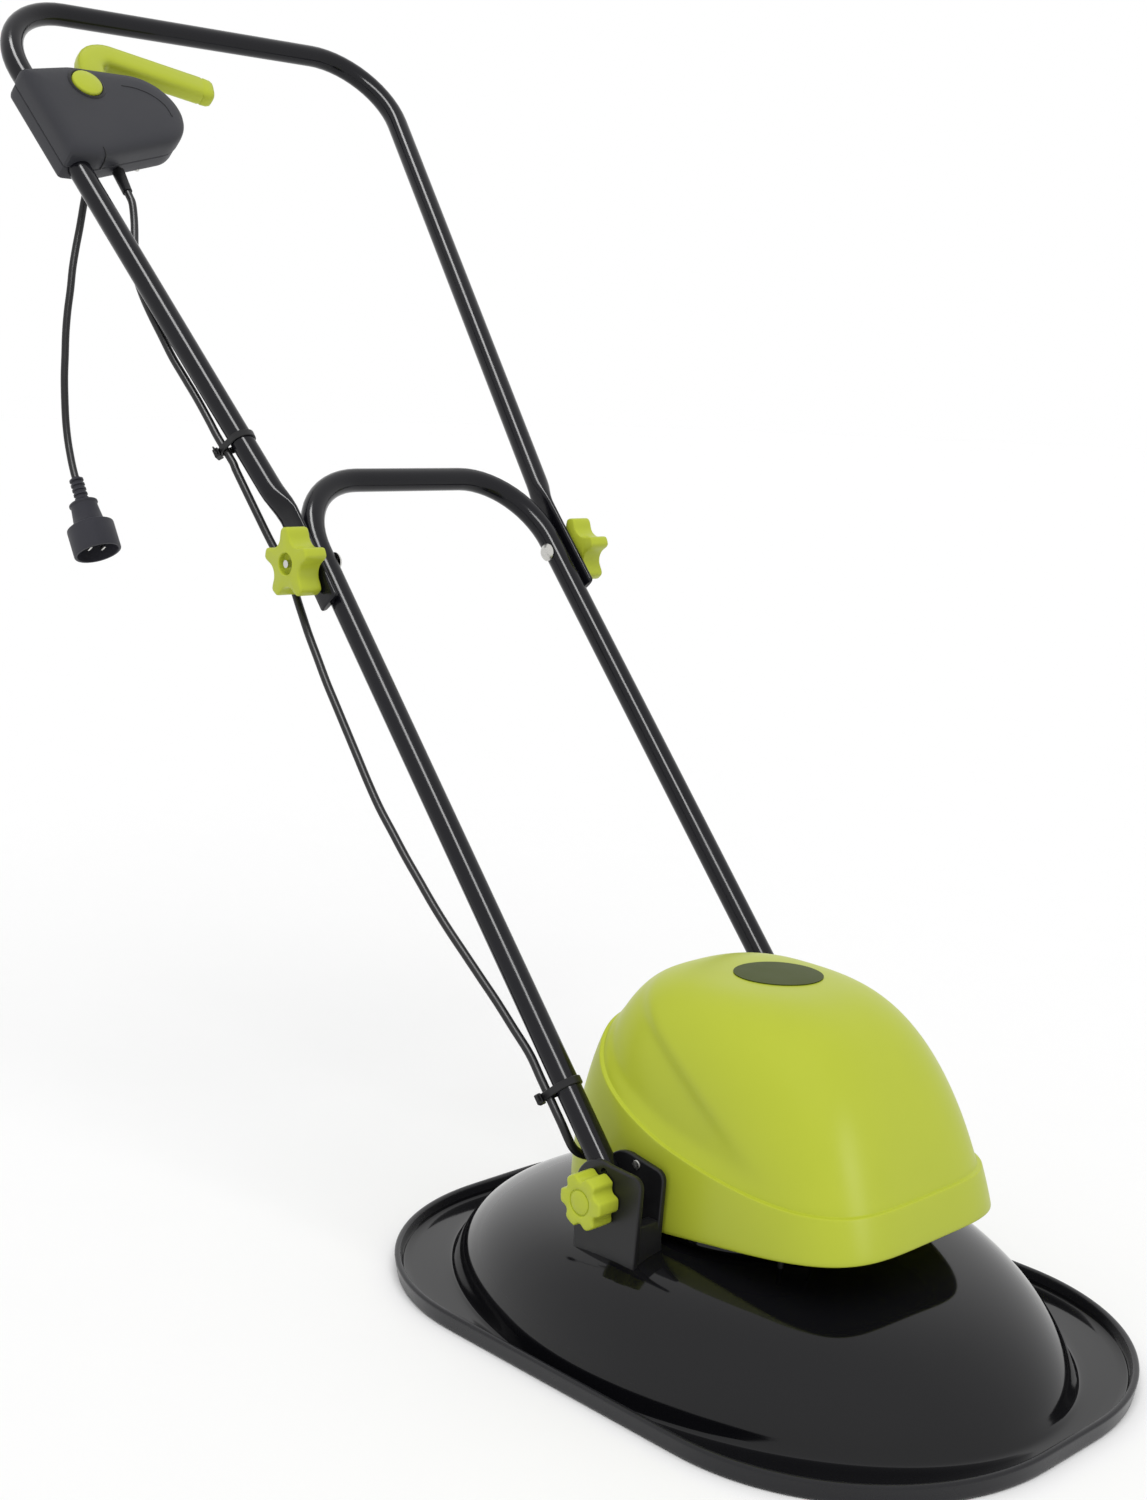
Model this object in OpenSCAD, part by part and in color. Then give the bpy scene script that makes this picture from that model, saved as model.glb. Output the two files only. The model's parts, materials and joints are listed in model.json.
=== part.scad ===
// Hover mower: an oval air-cushion hood, a motor under a domed cover, a hanging fan and blade,
// and a tubular handle in two U-shaped halves with a switch box, a lead and a short mains tail.
// Frame: +X forward, +Y left, +Z up. The origin lies on the motor axis in the plane of the sole.

/* [Hood] */
// Length of the hood over its rim
hood_length = 554; // [530:1:580]
// Width of the hood over its rim
hood_width = 390; // [380:1:410]
// Wall of the hood moulding
hood_wall = 3; // [2:0.5:4]
// Corner radius of the hood's rim
rim_corner_r = 165; // [150:1:180]
// Height of the upstanding rim
rim_height = 14; // [11:1:17]
// Length of the dome at its foot
dome_length = 502; // [490:1:510]
// Width of the dome at its foot
dome_width = 366; // [358:1:370]
// Height of the dome over the sole
dome_height = 82; // [78:1:84]
// How far the middle of the hood lies behind the motor axis
hood_setback = 6; // [0:1:10]
// Bore of the air inlet under the motor
throat_bore = 150; // [140:1:154]

/* [Cover] */
// Reach of the cover ahead of the motor axis
cover_front = 164; // [156:1:168]
// Reach of the cover behind the motor axis
cover_rear = 122; // [116:1:126]
// Width of the cover over its skirt
cover_width = 211; // [206:0.5:212]
// Height of the cover's crown over the sole
cover_top = 254; // [246:1:262]
// Height of the skirt's lower edge over the sole, at the rear
skirt_edge = 88; // [86:1:94]
// Height of the skirt's lower edge over the sole, at the front
skirt_front = 107; // [100:1:112]
// Height of the skirt's upper line at the front
band_front = 135; // [126:1:140]
// Height of the skirt's upper line at the rear
band_rear = 211; // [198:1:218]
// How far the skirt stands proud
band_step = 3; // [1:0.5:4]
// Wall of the cover moulding
cover_wall = 3; // [2:0.5:4]

/* [Handle] */
// Outside diameter of the handle tube
tube_d = 19; // [18:0.5:20]
// Wall of the handle tube
tube_wall = 1.5; // [1:0.25:2.5]
// Lean of the handle over the ground, in degrees
handle_lean = 50; // [46:1:56]
// Distance between the axes of the lower legs
leg_spacing = 244; // [242:1:250]
// Lower pivot, ahead of the motor axis
pivot_x = -25; // [-30:1:-20]
// Lower pivot, over the sole
pivot_z = 116; // [112:1:120]
// Distance along the leg from the lower pivot to the folding joint
joint_reach = 528; // [500:1:540]
// Distance along the leg from the lower pivot to the lower crossbar
lower_bar_reach = 606; // [600:1:620]
// Distance along the leg from the lower pivot to the top crossbar
top_bar_reach = 1105; // [1095:1:1130]
// Distance between the corners of the top crossbar
top_bar_width = 418; // [412:1:426]
// Bend radius of the tube at its axis
bend_r = 68; // [60:1:72]
// Diameter of the pivot bolts
pivot_bolt_d = 8; // [6:1:10]
// Diameter of the folding joint's bolts
joint_bolt_d = 6; // [5:1:8]
// Diameter of the star knobs at the folding joint
star_knob_d = 56; // [50:1:60]
// Thickness of the star knobs
star_knob_t = 20; // [16:1:22]
// Number of arms on a star knob
star_arms = 5; // [4:1:6]
// Diameter of the pivot knobs
pivot_knob_d = 39; // [36:1:44]
// Thickness of the pivot knobs
pivot_knob_t = 19; // [16:1:20]
// Number of lobes on a pivot knob
pivot_lobes = 6; // [5:1:7]

/* [Switch box] */
// Distance along the handle from the lower pivot to the switch box
box_reach = 968; // [960:1:976]
// Height of the box's upper half over the tube axis
box_top_t = 20; // [19:0.5:22]
// Depth of the box's lower half under the tube axis
box_bottom_t = 14; // [13:0.5:16]
// Wall of the box
box_wall = 2.5; // [2:0.25:3]
// Diameter of the lock button
button_d = 23; // [20:0.5:24]
// Travel of the lock button
button_travel = 3.5; // [2:0.5:4]
// Thickness of the switch lever
lever_t = 17; // [14:0.5:18]
// Width of the switch lever's bar
lever_w = 24; // [20:0.5:26]

/* [Motor and blade] */
// Outside diameter of the motor can
motor_d = 96; // [90:1:100]
// Height of the motor can
motor_height = 104; // [100:1:108]
// Diameter of the motor shaft
shaft_d = 12; // [11:0.5:14]
// Cutting width of the blade
blade_length = 280; // [260:1:286]
// Width of the blade
blade_w = 46; // [36:1:50]
// Thickness of the blade
blade_t = 3; // [2:0.5:4]
// Diameter of the fan
fan_d = 190; // [170:1:196]
// Number of vanes on the fan
fan_vanes = 12; // [8:1:16]

/* [Cord] */
// Diameter of the cord
cord_d = 6.4; // [6:0.1:7]
// Diameter of the plug's shroud
shroud_d = 40; // [36:1:42]
// Depth of the plug's shroud
shroud_t = 26; // [22:1:30]

/* [Hidden] */
$fn = 64;
// Free run of a bolt or a shaft in its hole, on the radius
run_fit = 0.05;
// Gap between moving pieces that do not touch
move_gap = 0.5;
// Overrun of a cut past the face that it opens
over = 1;

// Handle places
leg_y = leg_spacing / 2;
tube_r = tube_d / 2;
tube_bore = tube_d - 2 * tube_wall;
leg_tail = 14;
crimp_gap = 0.3;
crimp_t = 5.5;
crimp_below = 38;
crimp_above = 46;
crimp_blend = 26;
crimp_r = tube_r + crimp_gap + crimp_t;
flare_start = joint_reach + crimp_above + crimp_blend;
flare_y = leg_y + tube_r + tube_r;
flare = atan((top_bar_width / 2 - flare_y) / (top_bar_reach - flare_start));

// Hood details
crown_power = 3.4;
foot_power = 1.45;
side_share = 0.52;
dome_foot = 5;
dome_sides = 56;
dome_steps = 9;
collar_t = 15;
collar_drop = 18;
collar_rise = 4;
collar_z = dome_height + collar_rise;
bracket_r = 24;
bracket_front = 38;
shoulder_rise = 9;
plate_t = 4.5;
channel_play = 2.4;
channel = tube_d + channel_play;
channel_floor = 72;
plate_in = leg_y - channel / 2 - plate_t;
plate_out = leg_y + channel / 2;
detent_d = 6;
detent_reach = 18;

// Cover details
cover_sides = 64;
cover_steps = 9;
cover_square = 3.8;
crown_square = 2.5;
cover_rise_power = 1.3;
cover_round_power = 4.35;
side_rise_power = 2.6;
side_round_power = 4.85;
cover_lean = 14.5;
skirt_power = 1.2;
band_slope = 2.3;
post_d = 11;
post_x = 78;
post_y = 66;
post_z = dome_height;
post_head = 14;
post_bite = 18;

// Cover screws
cover_screw_d = 4;
screw_head_d = 8;
screw_head_t = 3;

// Motor details
bracket_t = 4;
arm_w = 16;
arm_count = 4;
arm_lap = 3;
motor_z = collar_z + bracket_t;
can_wall = 2.5;
can_ledge = 2;
hub_lip = 4;
hub_d = motor_d + 2 * hub_lip;
bearing_d = 28;
bearing_t = 9;
cap_t = 4;
cap_boss = 12;
cap_z = motor_z + motor_height;
stack_t = 50;
stack_lift = 22;
stack_z = motor_z + stack_lift;
air_gap = 1;
armature_d = 56;
commutator_d = 30;
commutator_t = 16;
brush_w = 8;
brush_h = 12;
blade_z = 22;
bolt_d = 6;
bolt_head_d = 13;
bolt_head_t = 6;
bolt_bite = 22;
washer_d = 30;
washer_t = 2;
fan_z = 34;
fan_plate_t = 3;
fan_hub_d = 34;
vane_t = 2.5;
vane_h = 21;
vane_in = 44;
vane_turn = 40;
vane_l = (fan_d / 2 - vane_in) * cos(vane_turn);
spacer_d = 26;
blade_eye_d = 60;
blade_cut = 7;
blade_nick = 70;

// Switch box places, in the plane of the handle: [across, along]
box_y = flare_y + (box_reach - flare_start) * tan(flare);
barrel_wall = 5;
barrel_r = tube_r + barrel_wall;
barrel_l = 92;
clamp_wall = 3;
clamp_r = tube_r + clamp_wall;
box_c = [-box_y, box_reach];
crown_at = [22, 17];
crown_c = box_c + crown_at;
crown_r = 36;
nose_at = [98, -8];
nose_c = box_c + nose_at;
nose_r = 22;
heel_at = [32, -17];
heel_c = box_c + heel_at;
heel_r = 21;
lever_at = [50, 17];
lever_c = box_c + lever_at;
elbow_at = [15, 77];
lever_elbow = lever_c + elbow_at;
tip_at = [118, 50];
lever_tip = lever_c + tip_at;
lever_hub_d = 24;
lever_slot = [52, 60];
lever_pin_d = 6;
spring_d = 14;
spring_wall = 2;
spring_t = 6;
button_at = [12, 16];
button_c = crown_c + button_at;
button_lip = 1.5;
button_flange_t = 2;
button_proud = button_travel;
box_screw_d = 3.5;
box_screw_head = 7;
box_post_d = 8;
nose_screw_at = [2, -2];
heel_screw_at = [42, -6];
crown_screw_at = [-12, 18];
screw_spots = [nose_c + nose_screw_at, heel_c + heel_screw_at, crown_c + crown_screw_at];
micro_size = [14, 20, 12];
micro_at = [82, -2];
micro_c = box_c + micro_at;
block_size = [12, 16, 18];
block_at = [27, 6];
block_c = box_c + block_at;
exit_z = heel_c[1] - heel_r;
exit_x = -6;
lead_in = 48;
lead_exit_y = lead_in - box_y;
tail_at = [31, -18];
tail_c = box_c + tail_at;
tail_tilt = 40;
gland_d = 11;
gland_grip = 2;
gland_tip_d = cord_d + gland_grip;
gland_neck_d = 7;
gland_t = 22;

// Clips, along the handle
clip_h = 14;
clip_wall = 3;
clip_over = 119;
clip_upper_reach = joint_reach + clip_over;
clip_lower_reach = 80;
clip_pull = [-12, -9];
clip_upper_y = flare_y + (clip_upper_reach - flare_start) * tan(flare);

// Grommet in the cover's right side
grommet_x = -64;
grommet_z = 126;
grommet_flange_d = 15;
grommet_neck_d = 11;
grommet_t = 3;
grommet_depth = 12;
grommet_up = (grommet_z - skirt_edge) / (cover_top - skirt_edge);
grommet_square = square_at(grommet_up);
grommet_along = abs(grommet_x + cover_lean * grommet_up) / (cover_rear * size_along(grommet_up));
grommet_across = pow(1 - pow(grommet_along, grommet_square), 1 / grommet_square);
grommet_y = cover_width / 2 * size_across(grommet_up) * grommet_across;

// Cord routes between their ends: share of the way, then the bow off the straight line, along X and Y
cord_sides = 10;
cord_run = 5;
tail_rows = [
    [0.067, -3.8, 0], [0.137, -5.8, -1.4], [0.208, -6.8, -3.8], [0.278, -6.8, -6.2],
    [0.353, -6.8, -7.5], [0.428, -7.9, -8.8], [0.502, -8.9, -9.2], [0.577, -10, -8.5],
    [0.652, -11.1, -7.8], [0.726, -12.1, -6.1], [0.801, -12.2, -4.5], [0.871, -10.2, -2.9],
    [0.938, -6.1, -1.4]
];
tail_drop = [14.2, -22.4, -241.1];
lead_upper_rows = [
    [0.052, 0.3, 0.4], [0.113, -4.3, -0.7], [0.185, -7.9, -4.6], [0.258, -9.5, -9.4],
    [0.334, -9, -14.2], [0.415, -7.5, -16], [0.499, -6, -15.7], [0.588, -5.5, -13.3],
    [0.677, -4.9, -10.9], [0.765, -3.4, -7.5], [0.854, -1.9, -4.2], [0.942, -0.3, -1.8]
];
lead_middle_rows = [
    [0.007, -1, 0.2], [0.041, -4, 2.4], [0.076, -8, 5.6], [0.113, -13, 9.7], [0.152, -17, 13.8],
    [0.191, -19, 14.9], [0.23, -21, 13], [0.271, -22, 10], [0.312, -23, 8.1], [0.353, -24, 6.1],
    [0.394, -25, 5.2], [0.435, -26, 4.2], [0.476, -27, 3.3], [0.517, -28, 2.3], [0.558, -28, 1.3],
    [0.598, -26, 0.4], [0.639, -24, -0.6], [0.68, -21, -1.5], [0.721, -18, -2.5], [0.762, -15, -2.4],
    [0.803, -11, -2.4], [0.844, -7, -2.3], [0.885, -4, -1.3], [0.926, -2, -0.3], [0.967, 0, 0.8]
];
lead_lower_rows = [
    [0.224, 2.2, -5], [0.482, 2.3, -9.6], [0.714, 1.6, -12.4], [0.884, 0.7, -11]
];

// Plug places
plug_lean = 30;
relief_l = 24;
relief_r = 4.5;
relief_ribs = 5;
rib_step = 1.5;
rib_t = 2.4;
plug_body_r = 13;
plug_neck_r = 8;
plug_body_l = 20;
shroud_wall = 2.5;
shroud_depth = 20;
blade_pin = [6.4, 1.6, 16];
pin_gap = 12.7;

// Folding joint and its star knobs
joint_head_d = 15;
joint_head_t = 4;
head_dome_r = 8.7;
head_dome_in = 3.75;
joint_washer_t = 1.5;
star_face_y = leg_y + crimp_r + joint_washer_t + move_gap;
star_recess_d = 17;
star_recess = 5;
star_scallop_r = 13;
star_bite_share = 0.86;

// Pivot knobs
pivot_face_y = plate_out + plate_t + move_gap;
pivot_recess_d = 18;
pivot_recess = 3;
pivot_scallop_r = 5;
pivot_bite_share = 1.06;
pivot_bolt_out = 13;

// Where the cords leave their strain reliefs, pass the clips and reach the cover
tail_tip = from_handle([
    -box_bottom_t - gland_t * cos(tail_tilt), tail_c[0], tail_c[1] - gland_t * sin(tail_tilt)
]);
tail_aim = from_handle([
    -box_bottom_t - (gland_t + cord_run) * cos(tail_tilt),
    tail_c[0],
    tail_c[1] - (gland_t + cord_run) * sin(tail_tilt)
]);
tail_end = tail_tip + tail_drop;
plug_aim = tail_end + cord_run * [-sin(plug_lean), 0, cos(plug_lean)];
lead_tip = [exit_x, lead_exit_y, exit_z - gland_t];
lead_aim = lead_tip - [0, 0, cord_run];
clip_upper_c = [
    clip_pull[0], clip_pull[1] * cos(flare) - clip_upper_y, clip_upper_reach + clip_pull[1] * sin(flare)
];
clip_lower_c = [clip_pull[0], clip_pull[1] - leg_y, clip_lower_reach];
clip_upper_run = clip_h * [0, -sin(flare), cos(flare)];
clip_lower_run = clip_h * [0, 0, 1];
grommet_c = [grommet_x, -grommet_y - grommet_t, grommet_z];
grommet_aim = grommet_c - [0, cord_run, 0];

// Points of all rings in one list
function flat(rings) = [for (ring = rings) for (p = ring) p];

// Faces of a closed loft over n rings of m points
function loft_faces(m, n) = concat(
    [[for (i = [0 : m - 1]) i]],
    [for (k = [0 : n - 2], i = [0 : m - 1]) [k * m + i, (k + 1) * m + i, (k + 1) * m + (i + 1) % m]],
    [for (k = [0 : n - 2], i = [0 : m - 1]) [k * m + i, (k + 1) * m + (i + 1) % m, k * m + (i + 1) % m]],
    [[for (i = [m - 1 : -1 : 0]) (n - 1) * m + i]]
);

// Power that keeps the sign of its base
function keep_pow(v, e) = sign(v) * pow(abs(v), e);

// A closed solid over a list of rings, lowest ring first
module loft(rings) {
    polyhedron(flat(rings), loft_faces(len(rings[0]), len(rings)));
}

// Place children in the handle's frame: X' over the tubes, Y left, Z' along the legs from the pivot
module handle_frame() {
    translate([pivot_x, 0, pivot_z])
        rotate([0, handle_lean - 90, 0])
            children();
}

// A flat shape drawn in [across, along], raised from x0 by t over the plane of the handle
module raise_from(x0, t) {
    translate([x0, 0, 0])
        rotate([90, 0, 90])
            linear_extrude(t)
                children();
}

// A point of the handle's frame in the part's frame
function from_handle(p) = [
    pivot_x + p[0] * sin(handle_lean) - p[2] * cos(handle_lean),
    p[1],
    pivot_z + p[0] * cos(handle_lean) + p[2] * sin(handle_lean)
];

// A rod along Y from y0 outwards by t, for the left side
module rod_y(d, y0, t) {
    translate([0, y0, 0])
        rotate([-90, 0, 0])
            cylinder(d = d, h = t);
}

// Children on the left side and again on the right
module both_sides() {
    children();
    mirror([0, 1, 0])
        children();
}

// Plan of the hood's rim, smaller by inset all round
module rim_plan(inset) {
    r = rim_corner_r - inset;
    run_x = hood_length / 2 - rim_corner_r;
    run_y = hood_width / 2 - rim_corner_r;
    for (sx = [-1, 1], sy = [-1, 1])
        translate([sx * run_x, sy * run_y])
            circle(r = r);
    square([2 * run_x, hood_width - 2 * inset], center = true);
    square([hood_length - 2 * inset, 2 * run_y], center = true);
}

// A flat bar with round ends from p to q
module flat_bar(p, q, w) {
    run = q - p;
    translate(p)
        circle(d = w);
    translate(q)
        circle(d = w);
    translate(p)
        rotate(atan2(run[1], run[0]))
            translate([0, -w / 2])
                square([norm(run), w]);
}

// Height of the dome, as a share, at a share t of its foot
function dome_rise(t) = pow(1 - pow(t, crown_power), 1 / foot_power);

// One ring of the dome, whose sides stand steeper than its ends
function dome_ring(a, b, t, z) = [
    for (i = [0 : dome_sides - 1])
        let (turn = 360 * i / dome_sides)
        [a * t * cos(turn) - hood_setback, b * pow(t, side_share) * sin(turn), z]
];

// The dome's solid, smaller by inset all round, with a straight foot of the given depth
module dome(inset, foot) {
    a = dome_length / 2 - inset;
    b = dome_width / 2 - inset;
    rise = dome_height - inset - dome_foot;
    shares = [for (k = [0 : dome_steps]) cos(86 * k / dome_steps)];
    loft(concat(
        [dome_ring(a, b, 1, -foot)],
        [for (t = shares) dome_ring(a, b, t, dome_foot + rise * dome_rise(t))]
    ));
}

// Side view of a handle bracket
module bracket_outline() {
    translate([pivot_x, pivot_z])
        circle(r = bracket_r);
    translate([pivot_x - bracket_r, rim_height])
        square([2 * bracket_r, pivot_z - rim_height]);
    translate([pivot_x, rim_height])
        square([bracket_front, pivot_z + shoulder_rise - rim_height]);
}

// A plate of the left bracket, from y0 outwards
module bracket_plate(y0) {
    translate([0, y0 + plate_t, 0])
        rotate([90, 0, 0])
            linear_extrude(plate_t)
                bracket_outline();
}

// Seats of the cover's posts
module at_posts() {
    for (sx = [-1, 1], sy = [-1, 1])
        translate([sx * post_x, sy * post_y, 0])
            children();
}

// Screws of the motor bracket
module at_bracket_screws() {
    for (i = [0 : arm_count - 1])
        rotate(45 + 360 * i / arm_count)
            translate([(throat_bore + collar_t) / 2, 0, 0])
                children();
}

module hood() {
    color([0.03, 0.03, 0.035])
        difference() {
            union() {
                difference() {
                    union() {
                        translate([-hood_setback, 0, 0]) {
                            linear_extrude(hood_wall)
                                rim_plan(0);
                            linear_extrude(rim_height)
                                difference() {
                                    rim_plan(0);
                                    rim_plan(hood_wall);
                                }
                        }
                        dome(0, -hood_wall / 2);
                        both_sides() {
                            bracket_plate(plate_in);
                            bracket_plate(plate_out);
                            translate([pivot_x - bracket_r, plate_in, rim_height])
                                cube([
                                    bracket_r + bracket_front,
                                    plate_out + plate_t - plate_in,
                                    channel_floor - rim_height
                                ]);
                        }
                        at_posts()
                            translate([0, 0, rim_height])
                                cylinder(d = post_head, h = post_z - rim_height);
                    }
                    dome(hood_wall, over);
                }
                translate([0, 0, collar_z - collar_drop])
                    cylinder(d = throat_bore + 2 * collar_t, h = collar_drop);
                at_posts()
                    translate([0, 0, post_z - post_bite - screw_head_t])
                        cylinder(d = post_head, h = post_bite + screw_head_t);
            }
            cylinder(d = throat_bore, h = collar_z + over);
            at_bracket_screws()
                translate([0, 0, collar_z - collar_drop + hood_wall])
                    cylinder(d = cover_screw_d + 2 * run_fit, h = collar_drop);
            at_posts() {
                cylinder(d = cover_screw_d + 2 * run_fit, h = post_z + over);
                translate([0, 0, rim_height])
                    cylinder(d = screw_head_d + move_gap, h = post_z - post_bite - rim_height);
            }
            both_sides() {
                translate([pivot_x, 0, pivot_z]) {
                    rod_y(pivot_bolt_d + 2 * run_fit, plate_in - over, plate_out + plate_t);
                    rod_y(2 * pivot_bolt_d + 2 * run_fit, plate_in - over, over + screw_head_t);
                }
                translate([pivot_x, 0, pivot_z + detent_reach])
                    rod_y(detent_d, plate_out - over, plate_t + 2 * over);
            }
        }
}

// How square the cover's plan is at a share of its height
function square_at(up) = cover_square - (cover_square - crown_square) * up;

// Length and width of the cover's plan, as shares of those at its foot
function size_along(up) = pow(max(0, 1 - pow(up, cover_rise_power)), 1 / cover_round_power);
function size_across(up) = pow(max(0, 1 - pow(up, side_rise_power)), 1 / side_round_power);

// Height of the skirt's lower edge, from a share of the way to the front
function skirt_z(ahead) = skirt_front - (skirt_front - skirt_edge) * pow(1 - ahead, skirt_power);

// Height of the skirt's upper line, from a share of the way back
function band_z(back) = band_front + (band_rear - band_front) * pow(back, band_slope);

// One ring of the cover: share h of the height over the skirt's line, smaller by inset
function cover_ring(h, low, inset) = [
    for (i = [0 : cover_sides - 1])
        let (
            c = cos(360 * i / cover_sides),
            s = sin(360 * i / cover_sides),
            foot_along = keep_pow(c, 2 / cover_square),
            line = band_z((1 - foot_along) / 2),
            edge = skirt_z(max(0, foot_along)),
            z = low ? edge + (line - edge) * h : line + (cover_top - inset - line) * h,
            up = max(0, (z - skirt_edge) / (cover_top - inset - skirt_edge)),
            along = keep_pow(c, 2 / square_at(up)),
            across = keep_pow(s, 2 / square_at(up)),
            step = low ? 0 : band_step,
            reach = (c > 0 ? cover_front : cover_rear) - inset - step,
            half = cover_width / 2 - inset - step
        )
        [
            reach * size_along(up) * along - cover_lean * up,
            half * size_across(up) * across,
            z
        ]
];

// The cover's solid, smaller by inset all round, its lower edge moved down by drop
module cover_solid(inset, drop) {
    steps = [for (k = [0 : cover_steps]) sin(88 * k / cover_steps)];
    low = cover_ring(0, true, inset);
    loft(concat(
        [[for (p = low) p - [0, 0, drop]]],
        [low, cover_ring(1, true, inset)],
        [for (h = steps) cover_ring(h, false, inset)]
    ));
}

module cover() {
    color([0.72, 0.8, 0.16])
        difference() {
            union() {
                difference() {
                    cover_solid(0, 0);
                    cover_solid(cover_wall, over);
                }
                intersection() {
                    at_posts()
                        translate([0, 0, post_z])
                            cylinder(d = post_d, h = cover_top - post_z);
                    cover_solid(cover_wall / 2, skirt_edge);
                }
            }
            at_posts()
                translate([0, 0, post_z - over])
                    cylinder(d = cover_screw_d + 2 * run_fit, h = post_bite + over);
            translate([grommet_x, 0, grommet_z])
                mirror([0, 1, 0]) {
                    rod_y(grommet_neck_d + 2 * run_fit, grommet_y - grommet_depth, grommet_depth + over);
                    rod_y(grommet_flange_d + 2 * run_fit, grommet_y, grommet_flange_d);
                }
        }
}

module cover_screws() {
    color([0.75, 0.75, 0.77])
        at_posts()
            translate([0, 0, post_z - post_bite - screw_head_t]) {
                cylinder(d = screw_head_d, h = screw_head_t);
                cylinder(d = cover_screw_d, h = 2 * post_bite);
            }
}

module motor_bracket() {
    color([0.1, 0.1, 0.11])
        translate([0, 0, collar_z])
            linear_extrude(bracket_t)
                difference() {
                    union() {
                        difference() {
                            circle(d = throat_bore + 2 * collar_t);
                            circle(d = throat_bore);
                        }
                        circle(d = hub_d);
                        for (i = [0 : arm_count - 1])
                            rotate(45 + 360 * i / arm_count)
                                translate([0, -arm_w / 2])
                                    square([throat_bore / 2 + arm_lap, arm_w]);
                    }
                    circle(d = shaft_d + 4 * move_gap);
                    at_bracket_screws()
                        circle(d = cover_screw_d + 2 * run_fit);
                }
}

module bracket_screws() {
    color([0.75, 0.75, 0.77])
        at_bracket_screws()
            translate([0, 0, collar_z + bracket_t]) {
                cylinder(d = screw_head_d, h = screw_head_t);
                translate([0, 0, -bracket_t - collar_drop + 2 * hood_wall])
                    cylinder(d = cover_screw_d, h = bracket_t + collar_drop - 2 * hood_wall);
            }
}

module motor_can() {
    color([0.55, 0.56, 0.58])
        translate([0, 0, motor_z])
            difference() {
                cylinder(d = motor_d, h = motor_height);
                translate([0, 0, stack_lift])
                    cylinder(d = motor_d - 2 * can_wall, h = motor_height);
                translate([0, 0, can_wall + bearing_t])
                    cylinder(d = motor_d - 2 * can_wall - 2 * can_ledge, h = motor_height);
                translate([0, 0, can_wall])
                    cylinder(d = bearing_d + 2 * run_fit, h = motor_height);
                translate([0, 0, -over])
                    cylinder(d = shaft_d + 4 * move_gap, h = motor_height);
            }
}

module motor_cap() {
    color([0.14, 0.14, 0.15])
        translate([0, 0, cap_z])
            difference() {
                union() {
                    cylinder(d = motor_d, h = cap_t);
                    cylinder(d = bearing_d + 2 * cap_t, h = cap_boss);
                    for (s = [-1, 1])
                        translate([-brush_w, s * (commutator_d / 2 + brush_w) - brush_w / 2, -brush_h])
                            cube([2 * brush_w, brush_w, brush_h]);
                }
                translate([0, 0, cap_boss - bearing_t])
                    cylinder(d = bearing_d + 2 * run_fit, h = bearing_t + over);
                translate([0, 0, -over])
                    cylinder(d = shaft_d + 4 * move_gap, h = cap_boss);
            }
}

module field_stack() {
    color([0.42, 0.28, 0.18])
        translate([0, 0, stack_z])
            difference() {
                cylinder(d = motor_d - 2 * can_wall - 2 * run_fit, h = stack_t);
                translate([0, 0, -over])
                    cylinder(d = armature_d + 2 * air_gap, h = stack_t + 2 * over);
            }
}

// A bearing as one ring, its lower face at z
module bearing(z) {
    color([0.8, 0.8, 0.82])
        translate([0, 0, z])
            difference() {
                cylinder(d = bearing_d, h = bearing_t);
                translate([0, 0, -over])
                    cylinder(d = shaft_d + 2 * run_fit, h = bearing_t + 2 * over);
            }
}

module upper_bearing() {
    bearing(cap_z + cap_boss - bearing_t);
}

module lower_bearing() {
    bearing(motor_z + can_wall);
}

module carbon_brushes() {
    color([0.1, 0.1, 0.1])
        both_sides()
            translate([-brush_w / 2, commutator_d / 2 + crimp_gap, cap_z - brush_h])
                cube([brush_w, brush_w / 2 - crimp_gap, brush_h]);
}

module pivot_bolts() {
    color([0.75, 0.75, 0.77])
        both_sides()
            translate([pivot_x, 0, pivot_z]) {
                rod_y(2 * pivot_bolt_d, plate_in, screw_head_t);
                rod_y(pivot_bolt_d, plate_in, plate_out + plate_t + pivot_bolt_out - plate_in);
            }
}

module lead_grommet() {
    color([0.05, 0.05, 0.05])
        translate([grommet_x, 0, grommet_z])
            mirror([0, 1, 0]) {
                rod_y(grommet_neck_d, grommet_y - grommet_depth, grommet_depth + grommet_t);
                rod_y(grommet_flange_d, grommet_y, grommet_t);
            }
}

module motor_shaft() {
    color([0.7, 0.71, 0.73])
        difference() {
            translate([0, 0, blade_z])
                cylinder(d = shaft_d, h = cap_z + cap_boss - blade_z);
            translate([0, 0, blade_z - over])
                cylinder(d = bolt_d + 2 * run_fit, h = bolt_bite + over);
        }
}

module armature() {
    color([0.72, 0.42, 0.2])
        translate([0, 0, stack_z])
            difference() {
                cylinder(d = armature_d, h = stack_t);
                translate([0, 0, -over])
                    cylinder(d = shaft_d + 2 * run_fit, h = stack_t + 2 * over);
            }
}

module commutator() {
    color([0.72, 0.45, 0.25])
        translate([0, 0, cap_z - commutator_t])
            difference() {
                cylinder(d = commutator_d, h = commutator_t - over);
                translate([0, 0, -over])
                    cylinder(d = shaft_d + 2 * run_fit, h = commutator_t + over);
            }
}

module fan() {
    color([0.12, 0.12, 0.13])
        translate([0, 0, fan_z])
            difference() {
                union() {
                    cylinder(d = fan_d, h = fan_plate_t);
                    cylinder(d = fan_hub_d, h = fan_plate_t + vane_h);
                    for (i = [0 : fan_vanes - 1])
                        rotate(360 * i / fan_vanes)
                            translate([vane_in, 0, 0])
                                rotate(vane_turn)
                                    translate([0, -vane_t / 2, 0])
                                        cube([vane_l, vane_t, fan_plate_t + vane_h]);
                }
                translate([0, 0, -over])
                    cylinder(d = shaft_d + 2 * run_fit, h = fan_plate_t + vane_h + 2 * over);
            }
}

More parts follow.
